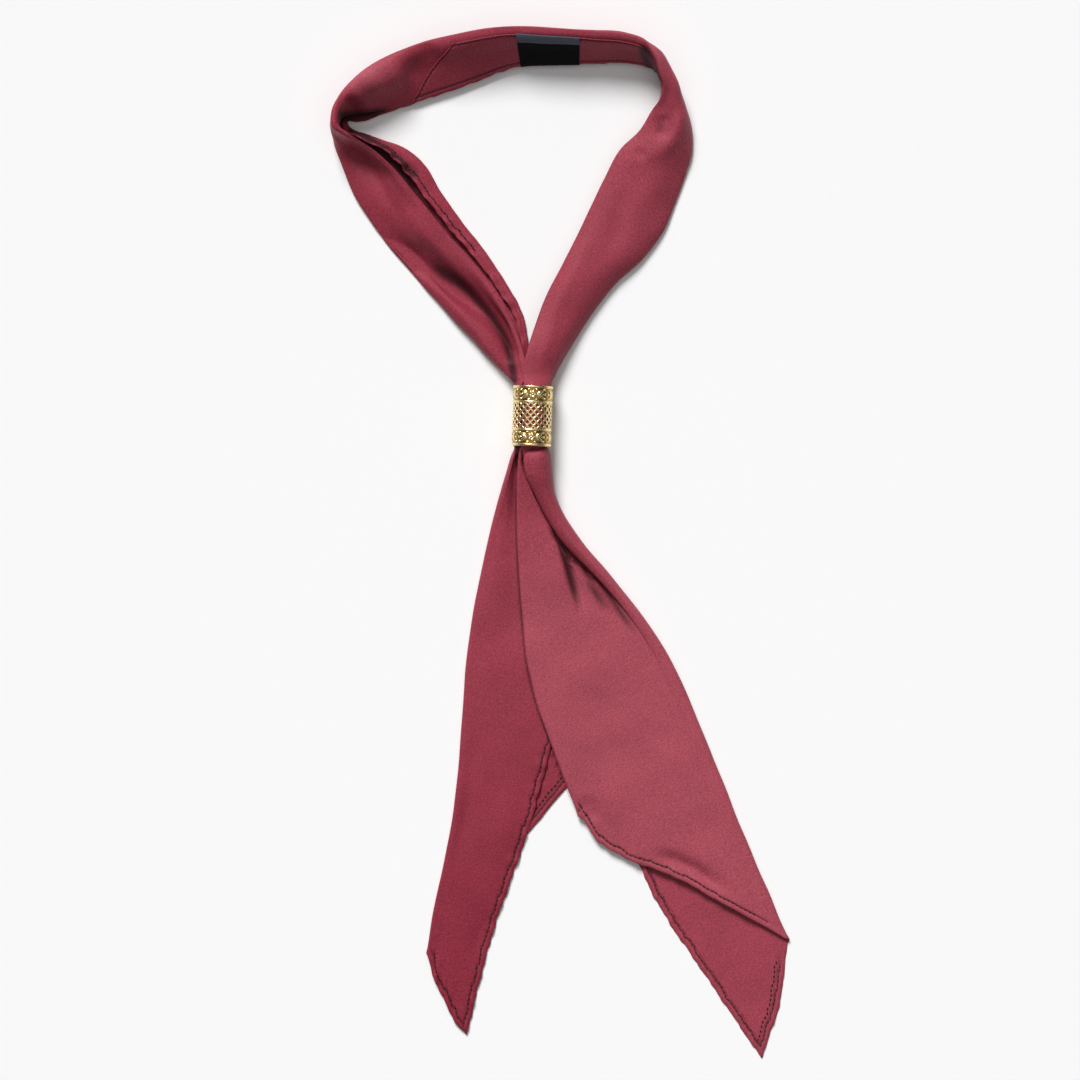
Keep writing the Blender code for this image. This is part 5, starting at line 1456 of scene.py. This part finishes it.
def crepe(settings):
    """Satin crepe: a fine uneven grain, a soft sheen, faint long patches of tone, painted shade along the
    seams and in deep folds, and painted sheen.
    """
    if "satin crepe" in bpy.data.materials:
        return bpy.data.materials["satin crepe"]
    made, shader, add, mix, link = nodes_of("satin crepe")
    place = add("ShaderNodeUVMap", {"uv_map": "cloth"}).outputs["UV"]
    grain = add("ShaderNodeTexNoise", {"Scale": 1150.0, "Detail": 3.0, "Roughness": 0.65, "Distortion": 0.6},
                {"Vector": place})
    fine = add("ShaderNodeTexVoronoi", {"Scale": 1500.0, "Randomness": 1.0}, {"Vector": place})
    cloud = add("ShaderNodeTexNoise", {"Scale": 38.0, "Detail": 4.0, "Roughness": 0.6}, {"Vector": place})
    tone = add("ShaderNodeMapRange", {"From Min": 0.34, "From Max": 0.66}, {"Value": grain.outputs["Fac"]})
    colour = mix(tone.outputs["Result"], settings.deep_colour, settings.colour)
    drift = add("ShaderNodeMapRange", {"From Min": 0.3, "From Max": 0.7, "To Min": 0.90, "To Max": 1.08},
                {"Value": cloud.outputs["Fac"]})
    shaded = add("ShaderNodeHueSaturation", {}, {"Value": drift.outputs["Result"], "Color": colour})
    # painted shade: the seam attribute darkens the cloth along the stitches and deep in the folds
    seam = add("ShaderNodeAttribute", {"attribute_name": "seam"})
    darker = add("ShaderNodeMapRange", {"From Min": 0.15, "To Min": 1.0, "To Max": SEAM_SHADE},
                 {"Value": seam.outputs["Fac"]})
    with_painted_shade = add("ShaderNodeHueSaturation", {}, {"Value": darker.outputs["Result"],
                                               "Color": shaded.outputs["Color"]})
    # painted sheen: this attribute makes the cloth lighter and paler where the satin is painted as catching
    # more light
    shine = add("ShaderNodeAttribute", {"attribute_name": "lustre"})
    brighter = add("ShaderNodeMapRange", {"To Min": 0.60, "To Max": 1.40}, {"Value": shine.outputs["Fac"]})
    paler = add("ShaderNodeMapRange", {"To Min": 1.10, "To Max": 0.90}, {"Value": shine.outputs["Fac"]})
    turned = add("ShaderNodeHueSaturation", {}, {"Value": brighter.outputs["Result"],
                                                 "Saturation": paler.outputs["Result"],
                                                 "Color": with_painted_shade.outputs["Color"]})
    link(turned.outputs["Color"], "Base Color")
    rough = add("ShaderNodeMapRange", {"To Min": 0.52, "To Max": 0.68}, {"Value": grain.outputs["Fac"]})
    link(rough.outputs["Result"], "Roughness")
    low = add("ShaderNodeBump", {"Strength": 0.55, "Distance": 0.00022}, {"Height": grain.outputs["Fac"]})
    high = add("ShaderNodeBump", {"Strength": 0.25, "Distance": 0.00012},
               {"Height": fine.outputs["Distance"], "Normal": low.outputs["Normal"]})
    link(high.outputs["Normal"], "Normal")
    shader.inputs["Specular IOR Level"].default_value = 0.22
    shader.inputs["Sheen Weight"].default_value = 0.08
    shader.inputs["Sheen Roughness"].default_value = 0.35
    shader.inputs["Sheen Tint"].default_value = (1.0, 0.55, 0.62, 1.0)
    return made


def thread_finish(settings):
    """Dark sewing thread with its twist."""
    if "sewing thread" in bpy.data.materials:
        return bpy.data.materials["sewing thread"]
    made, shader, add, mix, link = nodes_of("sewing thread")
    place = add("ShaderNodeTexCoord").outputs["Object"]
    twist = add("ShaderNodeTexWave", {"Scale": 900.0, "Distortion": 1.5, "Detail": 1.0}, {"Vector": place})
    colour = settings.thread_colour
    link(mix(twist.outputs["Fac"], colour, tinted(colour, 1.8)), "Base Color")
    bump = add("ShaderNodeBump", {"Strength": 0.5, "Distance": 0.00008}, {"Height": twist.outputs["Fac"]})
    link(bump.outputs["Normal"], "Normal")
    shader.inputs["Roughness"].default_value = 0.55
    return made


def woven_material(name, colour, lift):
    """Ribbed weave with faint wear. lift is how much paler its ribs are."""
    made, shader, add, mix, link = nodes_of(name)
    place = add("ShaderNodeUVMap", {"uv_map": "cloth"}).outputs["UV"]
    ribs = add("ShaderNodeTexWave", {"Scale": 550.0, "Distortion": 0.6, "Detail": 1.0}, {"Vector": place})
    wear = add("ShaderNodeTexNoise", {"Scale": 260.0, "Detail": 3.0}, {"Vector": place})
    blend = add("ShaderNodeMath", {"operation": "MULTIPLY"},
                {0: ribs.outputs["Fac"], 1: wear.outputs["Fac"]})
    link(mix(blend.outputs["Value"], colour, tinted(colour, lift, 0.002)), "Base Color")
    bump = add("ShaderNodeBump", {"Strength": 0.6, "Distance": 0.0001}, {"Height": ribs.outputs["Fac"]})
    link(bump.outputs["Normal"], "Normal")
    shader.inputs["Roughness"].default_value = 0.85
    shader.inputs["Specular IOR Level"].default_value = 0.12
    return made


def woven(settings):
    """Black weave of the bare label."""
    return woven_material("woven label", settings.label_colour, 2.2)


def woven_fold(settings):
    """Greyer weave of the label's folded top edge."""
    return woven_material("woven label fold", settings.label_fold_colour, 1.5)


def gold(settings):
    """Polished gold, darkened in the grounds of the relief."""
    made, shader, add, mix, link = nodes_of("polished gold")
    place = add("ShaderNodeTexCoord").outputs["Object"]
    height = add("ShaderNodeAttribute", {"attribute_name": "height"})
    scuffs = add("ShaderNodeTexNoise", {"Scale": 420.0, "Detail": 5.0, "Roughness": 0.6}, {"Vector": place})
    marks = add("ShaderNodeTexNoise", {"Scale": 1600.0, "Detail": 2.0}, {"Vector": place})
    tone = add("ShaderNodeMapRange", {"From Min": 0.05, "From Max": 0.55}, {"Value": height.outputs["Fac"]})
    link(mix(tone.outputs["Result"], settings.ground_colour, settings.colour), "Base Color")
    rough = add("ShaderNodeMapRange", {"To Min": 0.17, "To Max": 0.33}, {"Value": scuffs.outputs["Fac"]})
    link(rough.outputs["Result"], "Roughness")
    bump = add("ShaderNodeBump", {"Strength": 0.2, "Distance": 0.00006}, {"Height": marks.outputs["Fac"]})
    link(bump.outputs["Normal"], "Normal")
    shader.inputs["Metallic"].default_value = 1.0
    return made


def plain_gold(settings):
    """The same gold for the plain rims and the openwork."""
    made, shader, add, mix, link = nodes_of("plain gold")
    place = add("ShaderNodeTexCoord").outputs["Object"]
    scuffs = add("ShaderNodeTexNoise", {"Scale": 500.0, "Detail": 5.0, "Roughness": 0.6}, {"Vector": place})
    wear = add("ShaderNodeTexNoise", {"Scale": 90.0, "Detail": 3.0}, {"Vector": place})
    link(mix(wear.outputs["Fac"], settings.colour, tinted(settings.colour, 0.88)), "Base Color")
    rough = add("ShaderNodeMapRange", {"To Min": 0.20, "To Max": 0.36}, {"Value": scuffs.outputs["Fac"]})
    link(rough.outputs["Result"], "Roughness")
    bump = add("ShaderNodeBump", {"Strength": 0.15, "Distance": 0.00005}, {"Height": scuffs.outputs["Fac"]})
    link(bump.outputs["Normal"], "Normal")
    shader.inputs["Metallic"].default_value = 1.0
    return made


def floor_finish(settings):
    """Pale matt floor."""
    made, shader, add, mix, link = nodes_of("pale floor")
    place = add("ShaderNodeTexCoord").outputs["Object"]
    grain = add("ShaderNodeTexNoise", {"Scale": 320.0, "Detail": 3.0}, {"Vector": place})
    colour = settings.floor_colour
    link(mix(grain.outputs["Fac"], colour, tinted(colour, 0.985)), "Base Color")
    shader.inputs["Roughness"].default_value = 0.9
    shader.inputs["Specular IOR Level"].default_value = 0.1
    return made


def in_frame(place, height=0.0):
    """A place in the plan of the tables, in the object's own frame."""
    return Vector(((place[0] - ORIGIN[0]) * MM, (place[1] - ORIGIN[1]) * MM, height * MM))


def make_stage(context):
    """The pale floor, the two soft lights, the even fill and the camera."""
    settings = context.scene.scarf_tie_stage
    bm = bmesh.new()
    bmesh.ops.create_grid(bm, x_segments=1, y_segments=1, size=FLOOR_HALF)
    mesh = bpy.data.meshes.new("floor")
    bm.to_mesh(mesh)
    bm.free()
    mesh.materials.append(floor_finish(settings))
    floor = bpy.data.objects.new("floor", mesh)
    light = bpy.data.lights.new("soft_key", "SUN")
    light.energy, light.angle = settings.key, math.radians(KEY_ANGLE)
    key = bpy.data.objects.new("soft_key", light)
    key.rotation_euler = Vector(KEY_FROM).to_track_quat("Z", "Y").to_euler()
    light = bpy.data.lights.new("overhead", "AREA")
    light.energy, light.shape, light.size = settings.overhead, "SQUARE", OVERHEAD_SIZE
    overhead = bpy.data.objects.new("overhead", light)
    overhead.location.z = OVERHEAD_HEIGHT
    lens = bpy.data.cameras.new("camera")
    lens.sensor_width = SENSOR
    lens.lens = SENSOR * CAMERA_HEIGHT / FRAME_WIDTH
    camera = bpy.data.objects.new("camera", lens)
    camera.location = in_frame(CAMERA_PLACE, CAMERA_HEIGHT)
    for made in (floor, key, overhead, camera):
        context.scene.collection.objects.link(made)
    context.scene.camera = camera
    world = bpy.data.worlds.new("soft fill")
    world.use_nodes = True
    background = world.node_tree.nodes["Background"]
    background.inputs["Color"].default_value = (1.0, 1.0, 1.0, 1.0)
    background.inputs["Strength"].default_value = settings.fill
    context.scene.world = world
    context.scene.view_settings.view_transform = "Standard"


class SCARF_OT_strip(bpy.types.Operator):
    """Make the loop of the folded strip, with its hem and creases"""
    bl_idname = "scarf_tie.strip"
    bl_label = "Loop of the strip"

    def execute(self, context):
        make_strip(context)
        return {"FINISHED"}


class SCARF_OT_tails(bpy.types.Operator):
    """Make the two hemmed tails below the ring"""
    bl_idname = "scarf_tie.tails"
    bl_label = "Tails"

    def execute(self, context):
        left = Cloth(left_tail_knots(), LEFT_TAIL_CREASES, LEFT_TAIL_PLIES, LEFT_TAIL_INSIDE)
        make_tail(context, "left_tail", left, LEFT_TAIL_STEPS, ("first", "last", "end"),
                  LEFT_TAIL_SHADES, left_tail_painted_sheen)
        right = Cloth(right_tail_knots(), RIGHT_TAIL_CREASES, RIGHT_TAIL_PLIES, RIGHT_TAIL_INSIDE)
        make_tail(context, "right_tail", right, RIGHT_TAIL_STEPS, ("first", "end"),
                  RIGHT_TAIL_SHADES, right_tail_painted_sheen)
        return {"FINISHED"}


class SCARF_OT_facing(bpy.types.Operator):
    """Make the stitched facing and the bare label on the neck side"""
    bl_idname = "scarf_tie.facing"
    bl_label = "Facing and label"

    def execute(self, context):
        make_facing(context)
        make_label(context)
        return {"FINISHED"}


class SCARF_OT_ring(bpy.types.Operator):
    """Make the slide ring: rims, bands of leaves and openwork"""
    bl_idname = "scarf_tie.ring"
    bl_label = "Slide ring"

    def execute(self, context):
        settings = context.scene.scarf_tie_ring
        relief, plain = gold(settings), plain_gold(settings)
        bands = make_bands(context, settings, relief)
        make_rims(context, plain)
        make_lattice(context, settings, plain)
        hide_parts("slide_ring")
        return {"FINISHED"}


class SCARF_OT_stage(bpy.types.Operator):
    """Set the floor, the light and the camera"""
    bl_idname = "scarf_tie.stage"
    bl_label = "Stage"

    def execute(self, context):
        make_stage(context)
        return {"FINISHED"}


class SCARF_PT_panel(bpy.types.Panel):
    """Scarf tie in the sidebar"""
    bl_idname = "SCARF_PT_panel"
    bl_label = "Scarf tie"
    bl_space_type = "VIEW_3D"
    bl_region_type = "UI"
    bl_category = "Scarf tie"

    def draw(self, context):
        scene = context.scene
        for settings in (scene.scarf_tie_cloth, scene.scarf_tie_ring, scene.scarf_tie_stage):
            box = self.layout.box()
            for name in settings.__annotations__:
                box.prop(settings, name)
        for operator in OPERATORS:
            self.layout.operator(operator.bl_idname)


SETTINGS = {"scarf_tie_cloth": ClothSettings, "scarf_tie_ring": RingSettings,
            "scarf_tie_stage": StageSettings}
OPERATORS = (SCARF_OT_strip, SCARF_OT_tails, SCARF_OT_facing, SCARF_OT_ring, SCARF_OT_stage)


def register():
    """Register the settings, the operators and the panel."""
    for made in (*SETTINGS.values(), *OPERATORS, SCARF_PT_panel):
        bpy.utils.register_class(made)
    for name, group in SETTINGS.items():
        setattr(bpy.types.Scene, name, bpy.props.PointerProperty(type=group))


def unregister():
    """Take them away again."""
    for name in SETTINGS:
        delattr(bpy.types.Scene, name)
    for made in reversed((*SETTINGS.values(), *OPERATORS, SCARF_PT_panel)):
        bpy.utils.unregister_class(made)


def main():
    """Make every piece and the stage."""
    register()
    bpy.ops.scarf_tie.strip()
    bpy.ops.scarf_tie.tails()
    bpy.ops.scarf_tie.facing()
    bpy.ops.scarf_tie.ring()
    bpy.ops.scarf_tie.stage()


if __name__ == "__main__":
    main()
